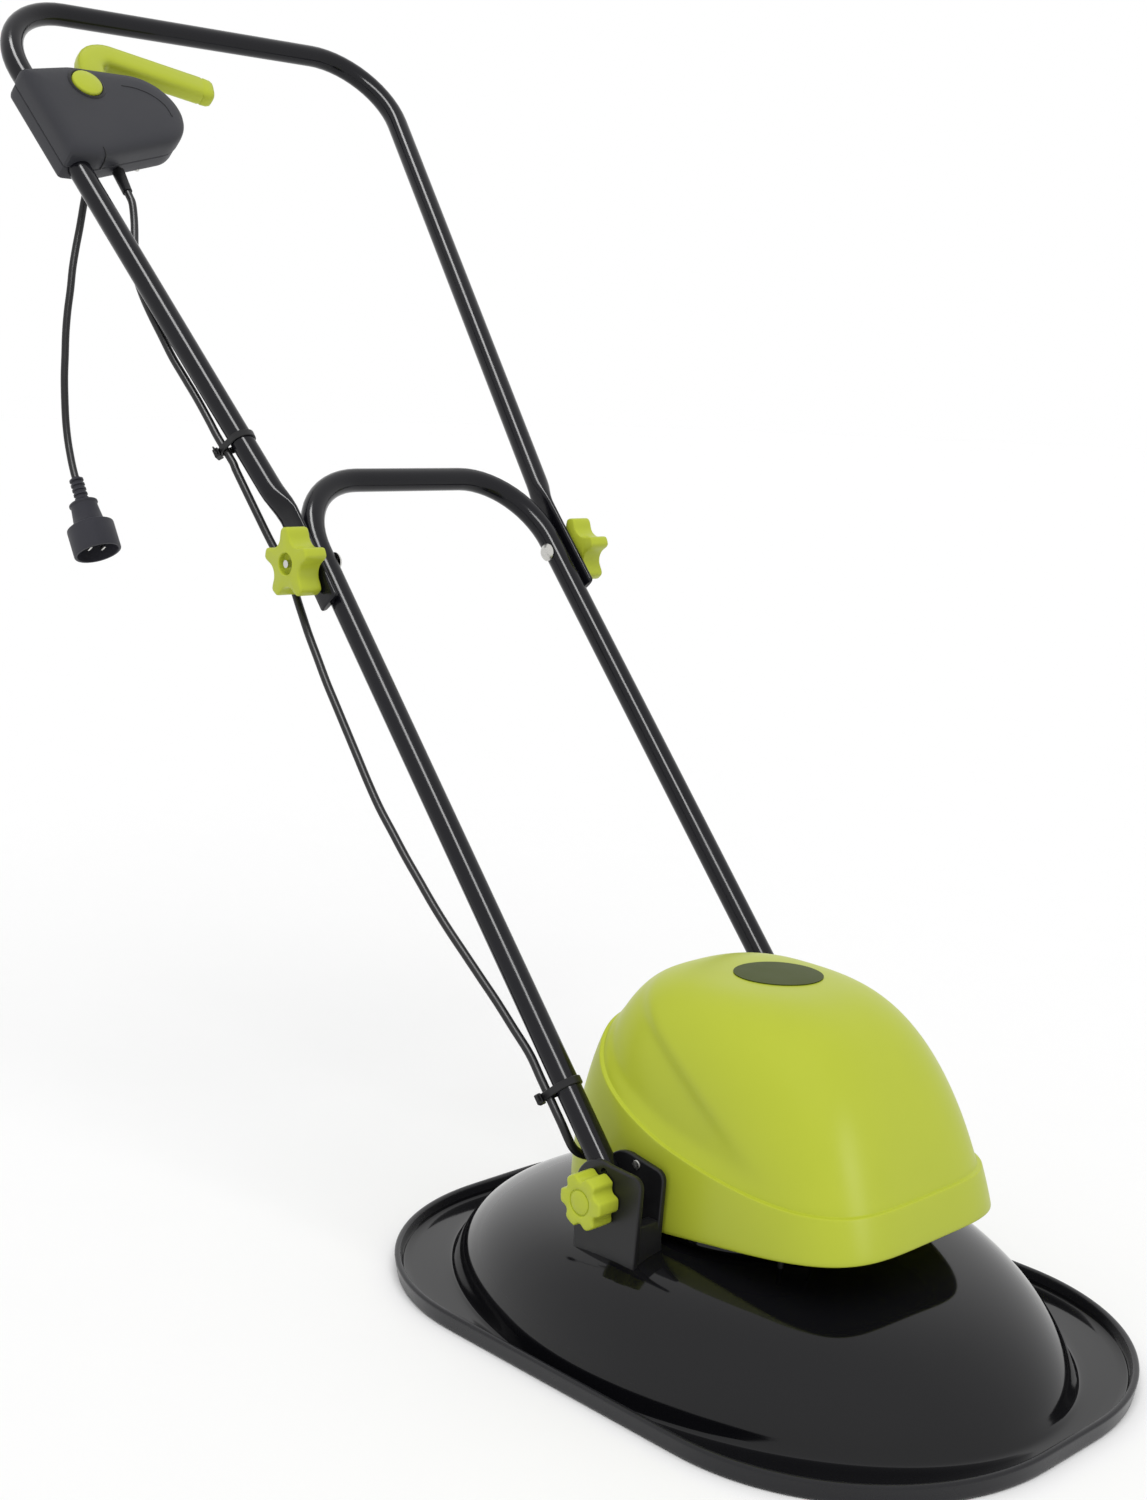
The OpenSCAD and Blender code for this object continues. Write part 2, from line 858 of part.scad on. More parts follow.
module blade_spacer() {
    color([0.85, 0.2, 0.1])
        translate([0, 0, blade_z + blade_t])
            difference() {
                cylinder(d = spacer_d, h = fan_z - blade_z - blade_t);
                translate([0, 0, -over])
                    cylinder(d = shaft_d + 2 * run_fit, h = fan_z);
            }
}

module blade() {
    color([0.6, 0.61, 0.63])
        translate([0, 0, blade_z])
            linear_extrude(blade_t)
                difference() {
                    union() {
                        intersection() {
                            circle(d = blade_length);
                            square([blade_length, blade_w], center = true);
                        }
                        circle(d = blade_eye_d);
                    }
                    circle(d = shaft_d + 2 * run_fit);
                    for (s = [0, 180])
                        rotate(s)
                            translate([blade_nick, blade_w / 2 - blade_cut])
                                square([blade_length, blade_w]);
                }
}

module blade_washer() {
    color([0.75, 0.75, 0.77])
        translate([0, 0, blade_z - washer_t])
            difference() {
                cylinder(d = washer_d, h = washer_t);
                translate([0, 0, -over])
                    cylinder(d = bolt_d + 2 * run_fit, h = washer_t + 2 * over);
            }
}

module blade_bolt() {
    color([0.75, 0.75, 0.77])
        translate([0, 0, blade_z - washer_t - bolt_head_t]) {
            cylinder(d = bolt_head_d, h = bolt_head_t, $fn = 6);
            cylinder(d = bolt_d, h = bolt_head_t + washer_t + bolt_bite - over);
        }
}

// A U of round rod in the handle's frame: legs from [leg0_y, leg0_z], splayed, to a crossbar at bar_z
module u_rod(d, leg0_y, leg0_z, bar_half, bar_z, splay, run) {
    tangent = bend_r * tan((90 + splay) / 2);
    leg_l = (bar_z - leg0_z) / cos(splay) - tangent;
    both_sides() {
        translate([0, leg0_y, leg0_z])
            rotate([-splay, 0, 0])
                translate([0, 0, -run])
                    cylinder(d = d, h = leg_l + run);
        translate([0, bar_half - tangent, bar_z - bend_r])
            rotate([90, 0, 90])
                rotate(-splay)
                    rotate_extrude(angle = 90 + splay)
                        translate([bend_r, 0])
                            circle(d = d);
    }
    translate([0, 0, bar_z])
        rotate([90, 0, 0])
            cylinder(d = d, h = 2 * (bar_half - tangent), center = true);
}

module lower_handle() {
    color([0.04, 0.04, 0.045])
        handle_frame()
            difference() {
                u_rod(tube_d, leg_y, -leg_tail, leg_y, lower_bar_reach, 0, 0);
                u_rod(tube_bore, leg_y, -leg_tail, leg_y, lower_bar_reach, 0, over);
                both_sides() {
                    rod_y(pivot_bolt_d + 2 * run_fit, leg_y - tube_d, 2 * tube_d);
                    translate([0, 0, joint_reach])
                        rod_y(joint_bolt_d + 2 * run_fit, leg_y - tube_d, 2 * tube_d);
                }
            }
}

module joint_bolts() {
    color([0.75, 0.75, 0.77])
        handle_frame()
            both_sides()
                translate([0, 0, joint_reach]) {
                    rod_y(joint_bolt_d, leg_y - tube_r, tube_r + crimp_r + joint_washer_t + star_knob_t);
                    intersection() {
                        rod_y(joint_head_d, leg_y - tube_r - joint_head_t, joint_head_t);
                        translate([0, leg_y - tube_r + head_dome_in, 0])
                            sphere(r = head_dome_r);
                    }
                }
}

module upper_handle() {
    color([0.04, 0.04, 0.045])
        handle_frame()
            difference() {
                union() {
                    difference() {
                        u_rod(tube_d, flare_y, flare_start, top_bar_width / 2, top_bar_reach, flare, 0);
                        u_rod(tube_bore, flare_y, flare_start, top_bar_width / 2, top_bar_reach, flare, over);
                    }
                    both_sides() {
                        crimp();
                        crimp_loft();
                    }
                }
                both_sides()
                    translate([0, 0, joint_reach])
                        rod_y(joint_bolt_d + 2 * run_fit, leg_y, 2 * tube_d);
            }
}

// Half-moon section of the flattened tube end
module crimp_section() {
    intersection() {
        translate([0, leg_y])
            circle(r = crimp_r);
        translate([-crimp_r, leg_y + tube_r + crimp_gap])
            square([2 * crimp_r, crimp_t]);
    }
}

// Flattened end of a leg, outside the lower leg
module crimp() {
    translate([0, 0, joint_reach - crimp_below])
        linear_extrude(crimp_below + crimp_above)
            crimp_section();
}

// From the flattened end to the round tube
module crimp_loft() {
    hull() {
        translate([0, 0, joint_reach + crimp_above - over])
            linear_extrude(over, $fn = 32)
                crimp_section();
        translate([0, flare_y, flare_start])
            rotate([-flare, 0, 0])
                cylinder(d = tube_d, h = over, $fn = 32);
    }
}

module joint_washers() {
    color([0.75, 0.75, 0.77])
        handle_frame()
            both_sides()
                translate([0, 0, joint_reach])
                    difference() {
                        rod_y(star_recess_d, leg_y + crimp_r, joint_washer_t);
                        rod_y(joint_bolt_d + 2 * run_fit, leg_y, 2 * tube_d);
                    }
}

// A star knob on the left folding joint
module star_knob() {
    color([0.72, 0.8, 0.16])
        handle_frame()
            translate([0, star_face_y, joint_reach])
                rotate([-90, 0, 0])
                    difference() {
                        linear_extrude(star_knob_t)
                            difference() {
                                circle(d = star_knob_d);
                                for (i = [0 : star_arms - 1])
                                    rotate(360 * i / star_arms)
                                        translate([star_knob_d / 2 * star_bite_share + star_scallop_r / 2, 0])
                                            circle(r = star_scallop_r);
                            }
                        translate([0, 0, -over])
                            cylinder(d = joint_bolt_d + 2 * run_fit, h = star_knob_t + 2 * over);
                        translate([0, 0, star_knob_t - star_recess])
                            cylinder(d = star_recess_d, h = star_recess + over);
                    }
}

module star_knob_left() {
    star_knob();
}

module star_knob_right() {
    mirror([0, 1, 0])
        star_knob();
}

// A lobed knob on the left pivot
module pivot_knob() {
    color([0.72, 0.8, 0.16])
        translate([pivot_x, pivot_face_y, pivot_z])
            rotate([-90, 0, 0])
                difference() {
                    linear_extrude(pivot_knob_t)
                        difference() {
                            circle(d = pivot_knob_d);
                            for (i = [0 : pivot_lobes - 1])
                                rotate(360 * i / pivot_lobes)
                                    translate([pivot_knob_d / 2 * pivot_bite_share, 0])
                                        circle(r = pivot_scallop_r);
                        }
                    translate([0, 0, -over])
                        cylinder(d = pivot_bolt_d + 2 * run_fit, h = pivot_knob_t - pivot_recess);
                    translate([0, 0, pivot_knob_t - pivot_recess])
                        difference() {
                            cylinder(d = pivot_recess_d, h = pivot_recess + over);
                            cylinder(d = pivot_recess_d / 2, h = pivot_recess);
                        }
                }
}

module pivot_knob_left() {
    pivot_knob();
}

module pivot_knob_right() {
    mirror([0, 1, 0])
        pivot_knob();
}

// A clip round the right-hand tube and the lead beside it, its middle at the origin of the leg
module clip() {
    color([0.06, 0.06, 0.065])
        translate([0, 0, -clip_h / 2])
            difference() {
                linear_extrude(clip_h) {
                    circle(r = tube_r + clip_wall);
                    translate(clip_pull)
                        circle(d = cord_d + 2 * clip_wall);
                    flat_bar([0, 0], clip_pull, cord_d + clip_wall);
                }
                translate([0, 0, -over]) {
                    cylinder(d = tube_d + 2 * run_fit, h = clip_h + 2 * over);
                    translate(clip_pull)
                        cylinder(d = cord_d + 4 * run_fit, h = clip_h + 2 * over);
                }
            }
}

module lower_clip() {
    handle_frame()
        translate([0, -leg_y, clip_lower_reach])
            clip();
}

module upper_clip() {
    handle_frame()
        translate([0, -clip_upper_y, clip_upper_reach])
            rotate([flare, 0, 0])
                clip();
}

// Plan of the switch box, smaller by inset
module box_plan(inset) {
    hull() {
        translate(crown_c)
            circle(r = crown_r - inset, $fn = 48);
        translate(nose_c)
            circle(r = nose_r - inset, $fn = 48);
        translate(heel_c)
            circle(r = heel_r - inset, $fn = 48);
    }
}

// Rod along the right upper tube through the box, longer than the box by run
module box_barrel(r, run) {
    translate([0, -box_y, box_reach])
        rotate([flare, 0, 0])
            cylinder(r = r, h = barrel_l + 2 * run, center = true);
}

// The whole box before it is split: x0 to x1 over the tube axis
module box_shell(x0, x1, cave0, cave1) {
    difference() {
        union() {
            raise_from(x0, x1 - x0)
                box_plan(0);
            intersection() {
                box_barrel(barrel_r, 0);
                translate([x0, -2 * box_y, 0])
                    cube([x1 - x0, 2 * box_y, 2 * box_reach]);
            }
        }
        difference() {
            raise_from(cave0, cave1 - cave0)
                box_plan(box_wall);
            box_barrel(clamp_r, 2 * over);
            for (p = screw_spots)
                raise_from(cave0 - over, cave1 - cave0 + 2 * over)
                    translate(p)
                        circle(d = box_post_d);
        }
        box_barrel(tube_r + run_fit, barrel_l);
        for (p = screw_spots)
            raise_from(-box_bottom_t - over, box_bottom_t + over + box_top_t - box_wall)
                translate(p)
                    circle(d = box_screw_d + 2 * run_fit);
        raise_from(-lever_t / 2 - move_gap, lever_t + 2 * move_gap)
            translate([lever_c[0] - lever_slot[0] / 2, lever_c[1]])
                square(lever_slot);
    }
}

module switch_box_top() {
    color([0.13, 0.13, 0.14])
        handle_frame()
            difference() {
                box_shell(0, box_top_t, -over, box_top_t - box_wall);
                raise_from(box_top_t - box_wall - over, box_wall + 2 * over)
                    translate(button_c)
                        circle(d = button_d + move_gap);
                pin_bore();
            }
}

// Hole for the lever's pin
module pin_bore() {
    raise_from(-box_bottom_t + box_wall / 2, box_top_t + box_bottom_t - box_wall)
        translate(lever_c)
            circle(d = lever_pin_d + 2 * run_fit);
}

module switch_box_bottom() {
    color([0.13, 0.13, 0.14])
        handle_frame()
            difference() {
                box_shell(-box_bottom_t, 0, -box_bottom_t + box_wall, over);
                for (p = screw_spots)
                    raise_from(-box_bottom_t - over, box_wall + over)
                        translate(p)
                            circle(d = box_screw_head + move_gap);
                pin_bore();
                lead_exit()
                    gland_root(run_fit);
                tail_exit()
                    gland_root(run_fit);
            }
}

module box_screws() {
    color([0.75, 0.75, 0.77])
        handle_frame()
            for (p = screw_spots) {
                raise_from(-box_bottom_t, box_wall)
                    translate(p)
                        circle(d = box_screw_head);
                raise_from(-box_bottom_t, box_bottom_t + box_top_t - 2 * box_wall)
                    translate(p)
                        circle(d = box_screw_d);
            }
}

// A block on the floor of the box
module box_block(size, c) {
    handle_frame()
        translate([-box_bottom_t + box_wall, c[0] - size[1] / 2, c[1] - size[2] / 2])
            cube(size);
}

module microswitch() {
    color([0.2, 0.2, 0.22])
        box_block(micro_size, micro_c);
}

module terminal_block() {
    color([0.85, 0.84, 0.78])
        box_block(block_size, block_c);
}

module lever_pin() {
    color([0.75, 0.75, 0.77])
        handle_frame()
            raise_from(-box_bottom_t + box_wall / 2, box_top_t + box_bottom_t - box_wall)
                translate(lever_c)
                    circle(d = lever_pin_d);
}

module lever_spring() {
    color([0.75, 0.75, 0.77])
        handle_frame()
            raise_from(-box_bottom_t + box_wall, spring_t)
                translate(lever_c)
                    difference() {
                        circle(d = spring_d);
                        circle(d = spring_d - 2 * spring_wall);
                    }
}

module switch_lever() {
    color([0.72, 0.8, 0.16])
        handle_frame()
            difference() {
                raise_from(-lever_t / 2, lever_t) {
                    flat_bar(lever_c, lever_elbow, lever_hub_d);
                    flat_bar(lever_elbow, lever_tip, lever_w);
                }
                raise_from(-lever_t, 2 * lever_t)
                    translate(lever_c)
                        circle(d = lever_pin_d + 2 * run_fit);
                raise_from(-lever_t, lever_t + spring_t + box_wall + crimp_gap - box_bottom_t)
                    translate(lever_c)
                        circle(d = spring_d + 2 * crimp_gap);
            }
}

module lock_button() {
    color([0.72, 0.8, 0.16])
        handle_frame() {
            raise_from(box_top_t - box_wall - button_flange_t, box_wall + button_flange_t + button_proud)
                translate(button_c)
                    circle(d = button_d);
            raise_from(box_top_t - box_wall - button_flange_t, button_flange_t)
                translate(button_c)
                    circle(d = button_d + 2 * button_lip);
        }
}

// Place children where the motor lead leaves the box's lower edge
module lead_exit() {
    translate([exit_x, lead_exit_y, exit_z])
        children();
}

// Place children where the mains tail leaves the box's floor
module tail_exit() {
    translate([-box_bottom_t, tail_c[0], tail_c[1]])
        rotate([0, 90 - tail_tilt, 0])
            children();
}

// The neck of a strain relief in the wall of the box
module gland_root(gap) {
    translate([0, 0, -gland_d / 2])
        cylinder(d = gland_neck_d + 2 * gap, h = gland_d / 2 + 2 * box_wall);
}

// A tapered strain relief below the wall of the box
module gland() {
    color([0.06, 0.06, 0.065]) {
        difference() {
            translate([0, 0, -gland_t])
                cylinder(d1 = gland_tip_d, d2 = gland_d, h = gland_t + gland_d / 2);
            children();
        }
        gland_root(0);
    }
}

module lead_gland() {
    handle_frame()
        lead_exit()
            gland()
                translate([-gland_d, -gland_d, 0])
                    cube(2 * gland_d);
}

module tail_gland() {
    handle_frame()
        difference() {
            tail_exit()
                gland()
                    rotate([0, tail_tilt - 90, 0])
                        translate([0, -gland_d, -gland_d])
                            cube(2 * gland_d);
            raise_from(0, gland_d)
                translate([tail_c[0] - gland_d, tail_c[1] - gland_d])
                    square(2 * gland_d);
        }
}

// Unit vector
function unit(v) = v / norm(v);

// Direction of a route at point k
function heading(route, k) = unit(route[min(k + 1, len(route) - 1)] - route[max(k - 1, 0)]);

// A side vector carried along the route without twist
function carried(route, k) = k == 0
    ? unit(cross(heading(route, 0), [0, 1, 0.001]))
    : let (t = heading(route, k), s = carried(route, k - 1)) unit(s - t * (s * t));

// Points between p and q, bowed off the straight line by the rows of a route
function bowed(p, q, rows) = [for (r = rows) p + (q - p) * r[0] + [r[1], r[2], 0]];

// A round cord along a route
module cord(route) {
    color([0.05, 0.05, 0.055])
        loft([
            for (k = [0 : len(route) - 1])
                let (t = heading(route, k), s = carried(route, k), n = cross(t, s))
                [for (i = [0 : cord_sides - 1])
                    route[k] + cord_d / 2 * (s * cos(360 * i / cord_sides) + n * sin(360 * i / cord_sides))]
        ]);
}

module mains_tail() {
    cord(concat([tail_tip, tail_aim], bowed(tail_tip, tail_end, tail_rows), [plug_aim, tail_end]));
}

// The motor lead from the switch box to the upper clip
module lead_upper() {
    top = clip_upper_c + clip_upper_run;
    handle_frame()
        cord(concat([lead_tip, lead_aim], bowed(lead_tip, top, lead_upper_rows), [top, clip_upper_c]));
}

// The motor lead from the upper clip to the lower clip
module lead_middle() {
    top = clip_upper_c - clip_upper_run;
    foot = clip_lower_c + clip_lower_run;
    handle_frame()
        cord(concat([clip_upper_c, top], bowed(top, foot, lead_middle_rows), [foot, clip_lower_c]));
}

// The motor lead from the lower clip to the grommet in the cover
module lead_lower() {
    top = from_handle(clip_lower_c - clip_lower_run);
    cord(concat(
        [from_handle(clip_lower_c), top],
        bowed(top, grommet_c, lead_lower_rows),
        [grommet_aim, grommet_c]
    ));
}

// Place children on the plug, its cord end at the origin and its blades towards -Z
module plug_frame() {
    translate(tail_end)
        rotate([0, -plug_lean, 0])
            children();
}

module plug_body() {
    color([0.07, 0.07, 0.075])
        plug_frame()
            difference() {
                union() {
                    translate([0, 0, -relief_l])
                        cylinder(r1 = relief_r + rib_step / 2, r2 = relief_r, h = relief_l);
                    for (i = [0 : relief_ribs - 1])
                        translate([0, 0, -relief_l * (i + 1) / relief_ribs])
                            cylinder(r = relief_r + rib_step, h = rib_t);
                    translate([0, 0, -relief_l - plug_body_l])
                        cylinder(r1 = plug_body_r, r2 = plug_neck_r, h = plug_body_l);
                    translate([0, 0, -relief_l - plug_body_l - shroud_t])
                        cylinder(d = shroud_d, h = shroud_t);
                }
                translate([0, 0, -relief_l - plug_body_l - shroud_t - over])
                    cylinder(d = shroud_d - 2 * shroud_wall, h = shroud_depth + over);
            }
}

module plug_blades() {
    color([0.78, 0.78, 0.8])
        plug_frame()
            for (s = [-1, 1])
                translate([-blade_pin[0] / 2, s * pin_gap / 2 - blade_pin[1] / 2, 0])
                    translate([0, 0, -relief_l - plug_body_l - shroud_t + shroud_depth - blade_pin[2]])
                        cube(blade_pin);
}

hood();
cover();
cover_screws();
motor_bracket();
bracket_screws();
motor_can();
motor_cap();
field_stack();
upper_bearing();
lower_bearing();
carbon_brushes();
pivot_bolts();
lead_grommet();
motor_shaft();
armature();
commutator();
fan();
blade_spacer();
blade();
blade_washer();
blade_bolt();
lower_handle();
joint_bolts();
lower_clip();
upper_handle();
joint_washers();
upper_clip();
switch_box_top();
switch_box_bottom();
box_screws();
microswitch();
terminal_block();
lever_pin();
lever_spring();
switch_lever();
lock_button();
lead_gland();
tail_gland();
mains_tail();
plug_body();
plug_blades();
lead_upper();
lead_middle();
lead_lower();
star_knob_left();
star_knob_right();
pivot_knob_left();
pivot_knob_right();
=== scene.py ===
# %% [markdown]
# # A hover mower, dressed over its solids
# The imported solids give every place and size. This lesson adds the moulded skins, the enamelled tubes, the
# cords and the light, one piece at a time. Each piece rides on the body that carries it, but the two
# stretches of the lead that cross a joint stay where they are drawn.

# %% Load the frame
import json
import math
import bmesh
import bpy
from mathutils import Matrix, Vector

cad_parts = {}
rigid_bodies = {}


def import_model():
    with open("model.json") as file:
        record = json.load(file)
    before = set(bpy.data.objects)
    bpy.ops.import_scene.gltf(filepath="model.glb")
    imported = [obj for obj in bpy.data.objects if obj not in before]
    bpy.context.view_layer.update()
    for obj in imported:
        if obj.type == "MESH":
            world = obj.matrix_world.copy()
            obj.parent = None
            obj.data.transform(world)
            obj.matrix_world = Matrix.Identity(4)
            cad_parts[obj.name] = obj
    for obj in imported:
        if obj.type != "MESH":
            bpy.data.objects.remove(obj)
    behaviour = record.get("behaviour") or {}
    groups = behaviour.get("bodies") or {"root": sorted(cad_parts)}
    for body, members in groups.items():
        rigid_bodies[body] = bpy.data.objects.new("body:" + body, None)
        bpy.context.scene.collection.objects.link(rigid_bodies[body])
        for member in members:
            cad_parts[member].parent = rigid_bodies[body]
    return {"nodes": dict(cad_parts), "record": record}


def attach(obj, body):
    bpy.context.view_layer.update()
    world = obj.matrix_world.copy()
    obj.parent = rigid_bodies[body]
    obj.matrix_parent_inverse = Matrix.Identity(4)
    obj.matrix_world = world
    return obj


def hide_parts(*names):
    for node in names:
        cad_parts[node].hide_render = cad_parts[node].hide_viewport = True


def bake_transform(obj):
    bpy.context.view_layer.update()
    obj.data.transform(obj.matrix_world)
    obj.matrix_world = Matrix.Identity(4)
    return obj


for leftover in list(bpy.data.objects):
    bpy.data.objects.remove(leftover)
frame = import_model()
nodes = frame["nodes"]
scene = bpy.context.scene
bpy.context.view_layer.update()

# %% [markdown]
# ## Camera
# The photograph looks at the front right corner from a little above the cover. The camera is placed by
# three axes: to the right, up, and back towards the lens. The lens is a short telephoto, and a small shift
# keeps the mower where the photograph frames it.

# %% Camera
TURN, DOWN, ROLL = math.radians(46.82), math.radians(10.61), math.radians(1.62)
EYE = (0.8835, -1.0452, 0.6540)
FOCAL_MM = 47.8
SHIFT = (0.0138, 0.0108)
back = Vector((math.sin(TURN) * math.cos(DOWN), -math.cos(TURN) * math.cos(DOWN), math.sin(DOWN)))
right = Vector((math.cos(TURN), math.sin(TURN), 0))
up = back.cross(right)
across = math.cos(ROLL) * right + math.sin(ROLL) * up
upward = -math.sin(ROLL) * right + math.cos(ROLL) * up
lens = bpy.data.cameras.new("camera")
lens.lens = FOCAL_MM
lens.shift_x, lens.shift_y = SHIFT
camera = bpy.data.objects.new("camera", lens)
scene.collection.objects.link(camera)
turned = Matrix((across, upward, back)).transposed()
camera.matrix_world = Matrix.Translation(EYE) @ turned.to_4x4()
scene.camera = camera
print("camera at", [round(v, 3) for v in camera.location])

# %% [markdown]
# ## Working habits
# Everything is drawn in millimetres and stored in metres. An operator acts on all that is selected, so each
# new piece starts with nothing selected. The handle has a frame of its own: x over the tubes, y to the left
# and z along the legs from the lower pivot.

# %% Helpers for selecting and placing
MM = 0.001
LEAN = math.radians(50)
PIVOT = Vector((-25, 0, 116))


def handle(x, y, z):
    """A point of the handle's frame, in millimetres of the part's frame."""
    along, over = math.cos(LEAN), math.sin(LEAN)
    return PIVOT + Vector((x * over - z * along, y, x * along + z * over))


def fresh():
    """Leave edit mode and select nothing."""
    if bpy.context.object and bpy.context.object.mode != "OBJECT":
        bpy.ops.object.mode_set(mode="OBJECT")
    bpy.ops.object.select_all(action="DESELECT")


def take(piece):
    """Select one piece alone."""
    fresh()
    piece.select_set(True)
    bpy.context.view_layer.objects.active = piece
    return piece


def soften(piece, angle=35):
    """Shade a piece smooth, with edges sharper than the angle left crisp."""
    take(piece)
    bpy.ops.object.shade_smooth_by_angle(angle=math.radians(angle))
    return piece


def modify(piece, kind, **settings):
    """Add a modifier with these settings and apply it."""
    take(piece)
    modifier = piece.modifiers.new(kind.lower(), kind)
    for key, value in settings.items():
        setattr(modifier, key, value)
    bpy.ops.object.modifier_apply(modifier=modifier.name)
    return piece


def ease(t):
    """A soft step from 0 to 1."""
    t = max(0.0, min(1.0, t))
    return t * t * (3 - 2 * t)


print("lower pivot at", list(PIVOT))

# %% [markdown]
# ## Drawing a piece out, loop by loop
# Most mouldings here can be pulled out of one flat loop: a filled circle is added, and it is extruded again
# and again, each new loop being set to its own outline. That is the way a hand modeller blocks out a
# moulding, and it keeps clean bands of four-sided faces that a subdivision can smooth.

# %% Helper that extrudes a loop along outlines
def draw_out(name, loops, closed=False, levels=0, angle=35):
    """Extrude a filled circle through outlines in millimetres. Closed joins the last one to the first."""
    fresh()
    bpy.ops.mesh.primitive_circle_add(vertices=len(loops[0]), fill_type="NGON")
    piece = bpy.context.object
    piece.name = name
    bpy.ops.object.mode_set(mode="EDIT")
    mesh = bmesh.from_edit_mesh(piece.data)
    mesh.verts.ensure_lookup_table()
    ring = list(mesh.verts)
    for step, outline in enumerate(loops):
        if step:
            old = {tuple(round(c, 7) for c in v.co): i for i, v in enumerate(ring)}
            bpy.ops.mesh.extrude_region_move()
            mesh = bmesh.from_edit_mesh(piece.data)
            ring = [None] * len(outline)
            for v in [v for v in mesh.verts if v.select]:
                ring[old[tuple(round(c, 7) for c in v.co)]] = v
        for v, p in zip(ring, outline):
            v.co = Vector(p) * MM
        bmesh.update_edit_mesh(piece.data)
    if closed:
        caps = [f for f in mesh.faces if len(f.verts) > 4]
        bmesh.ops.delete(mesh, geom=caps, context="FACES_ONLY")
        bpy.ops.mesh.select_all(action="DESELECT")
        bpy.ops.mesh.select_mode(type="EDGE")
        for edge in mesh.edges:
            edge.select = edge.is_boundary
        bmesh.update_edit_mesh(piece.data)
        bpy.ops.mesh.bridge_edge_loops()
        bpy.ops.mesh.select_mode(type="VERT")
    bpy.ops.mesh.select_all(action="SELECT")
    bpy.ops.mesh.normals_make_consistent(inside=False)
    bpy.ops.object.mode_set(mode="OBJECT")
    if levels:
        modify(piece, "SUBSURF", levels=levels, render_levels=levels)
    soften(piece, angle)
    print(name, "faces:", len(piece.data.polygons))
    return piece


# %% [markdown]
# ## Shared surface effects
# Two effects come back on nearly every finish. Moulded grain is the fine pebbling that a tool leaves on
# plastic, and handling is the broad, faint change of sheen where hands and cloths have been. Each is a node
# group that puts out a value, and each finish decides how much of it to use.

# %% Node groups
def new_group(name, inputs, outputs):
    """A node group with these number sockets."""
    group = bpy.data.node_groups.new(name, "ShaderNodeTree")
    for label, value in inputs:
        group.interface.new_socket(label, in_out="INPUT", socket_type="NodeSocketFloat").default_value = value
    for label in outputs:
        group.interface.new_socket(label, in_out="OUTPUT", socket_type="NodeSocketFloat")
    return group, group.nodes.new("NodeGroupInput"), group.nodes.new("NodeGroupOutput")


def add(tree, kind, **settings):
    """A new node with these settings."""
    node = tree.nodes.new(kind)
    for key, value in settings.items():
        setattr(node, key, value)
    return node


grain_group, entry, leave = new_group("moulded_grain", [("Scale", 900.0)], ["Height"])
place = add(grain_group, "ShaderNodeTexCoord")
pebble = add(grain_group, "ShaderNodeTexNoise")
pebble.inputs["Detail"].default_value = 3
grain_group.links.new(place.outputs["Object"], pebble.inputs["Vector"])
grain_group.links.new(entry.outputs["Scale"], pebble.inputs["Scale"])
grain_group.links.new(pebble.outputs["Fac"], leave.inputs["Height"])

handling_inputs = [("Scale", 14.0), ("Low", 0.2), ("High", 0.4)]
handling_group, entry, leave = new_group("handling", handling_inputs, ["Sheen", "Tone"])
place = add(handling_group, "ShaderNodeTexCoord")
cloud = add(handling_group, "ShaderNodeTexNoise")
cloud.inputs["Detail"].default_value = 6
cloud.inputs["Roughness"].default_value = 0.6
spread = add(handling_group, "ShaderNodeMapRange")
spread.inputs["From Min"].default_value = 0.3
spread.inputs["From Max"].default_value = 0.7
handling_group.links.new(place.outputs["Object"], cloud.inputs["Vector"])
handling_group.links.new(entry.outputs["Scale"], cloud.inputs["Scale"])
handling_group.links.new(cloud.outputs["Fac"], spread.inputs["Value"])
handling_group.links.new(entry.outputs["Low"], spread.inputs["To Min"])
handling_group.links.new(entry.outputs["High"], spread.inputs["To Max"])
handling_group.links.new(spread.outputs["Result"], leave.inputs["Sheen"])
handling_group.links.new(cloud.outputs["Fac"], leave.inputs["Tone"])
print("groups:", [g.name for g in bpy.data.node_groups])

# %% [markdown]
# ## Finishes
# A finish is one Principled shader. Its colour moves a little between a darker and a lighter tone, its
# roughness moves between two values, and its grain is a very shallow bump. Colours are written as linear
# light.

# %% Finishes
def finish(name, dark, light, rough, grain=900, bump=0.05, metal=0.0, ior=1.45, cloud_scale=14, depth=0.0002):
    made = bpy.data.materials.new(name)
    made.use_nodes = True
    tree = made.node_tree
    shader = tree.nodes["Principled BSDF"]
    shader.inputs["Metallic"].default_value = metal
    shader.inputs["IOR"].default_value = ior
    marks = add(tree, "ShaderNodeGroup", node_tree=handling_group)
    marks.inputs["Scale"].default_value = cloud_scale
    marks.inputs["Low"].default_value = rough[0]
    marks.inputs["High"].default_value = rough[1]
    pebbles = add(tree, "ShaderNodeGroup", node_tree=grain_group)
    pebbles.inputs["Scale"].default_value = grain
    tone = add(tree, "ShaderNodeMix", data_type="RGBA")
    tone.inputs["A"].default_value = (*dark, 1)
    tone.inputs["B"].default_value = (*light, 1)
    relief = add(tree, "ShaderNodeBump")
    relief.inputs["Strength"].default_value = bump
    relief.inputs["Distance"].default_value = depth
    tree.links.new(marks.outputs["Tone"], tone.inputs["Factor"])
    tree.links.new(tone.outputs["Result"], shader.inputs["Base Color"])
    tree.links.new(marks.outputs["Sheen"], shader.inputs["Roughness"])
    tree.links.new(pebbles.outputs["Height"], relief.inputs["Height"])
    tree.links.new(relief.outputs["Normal"], shader.inputs["Normal"])
    return made


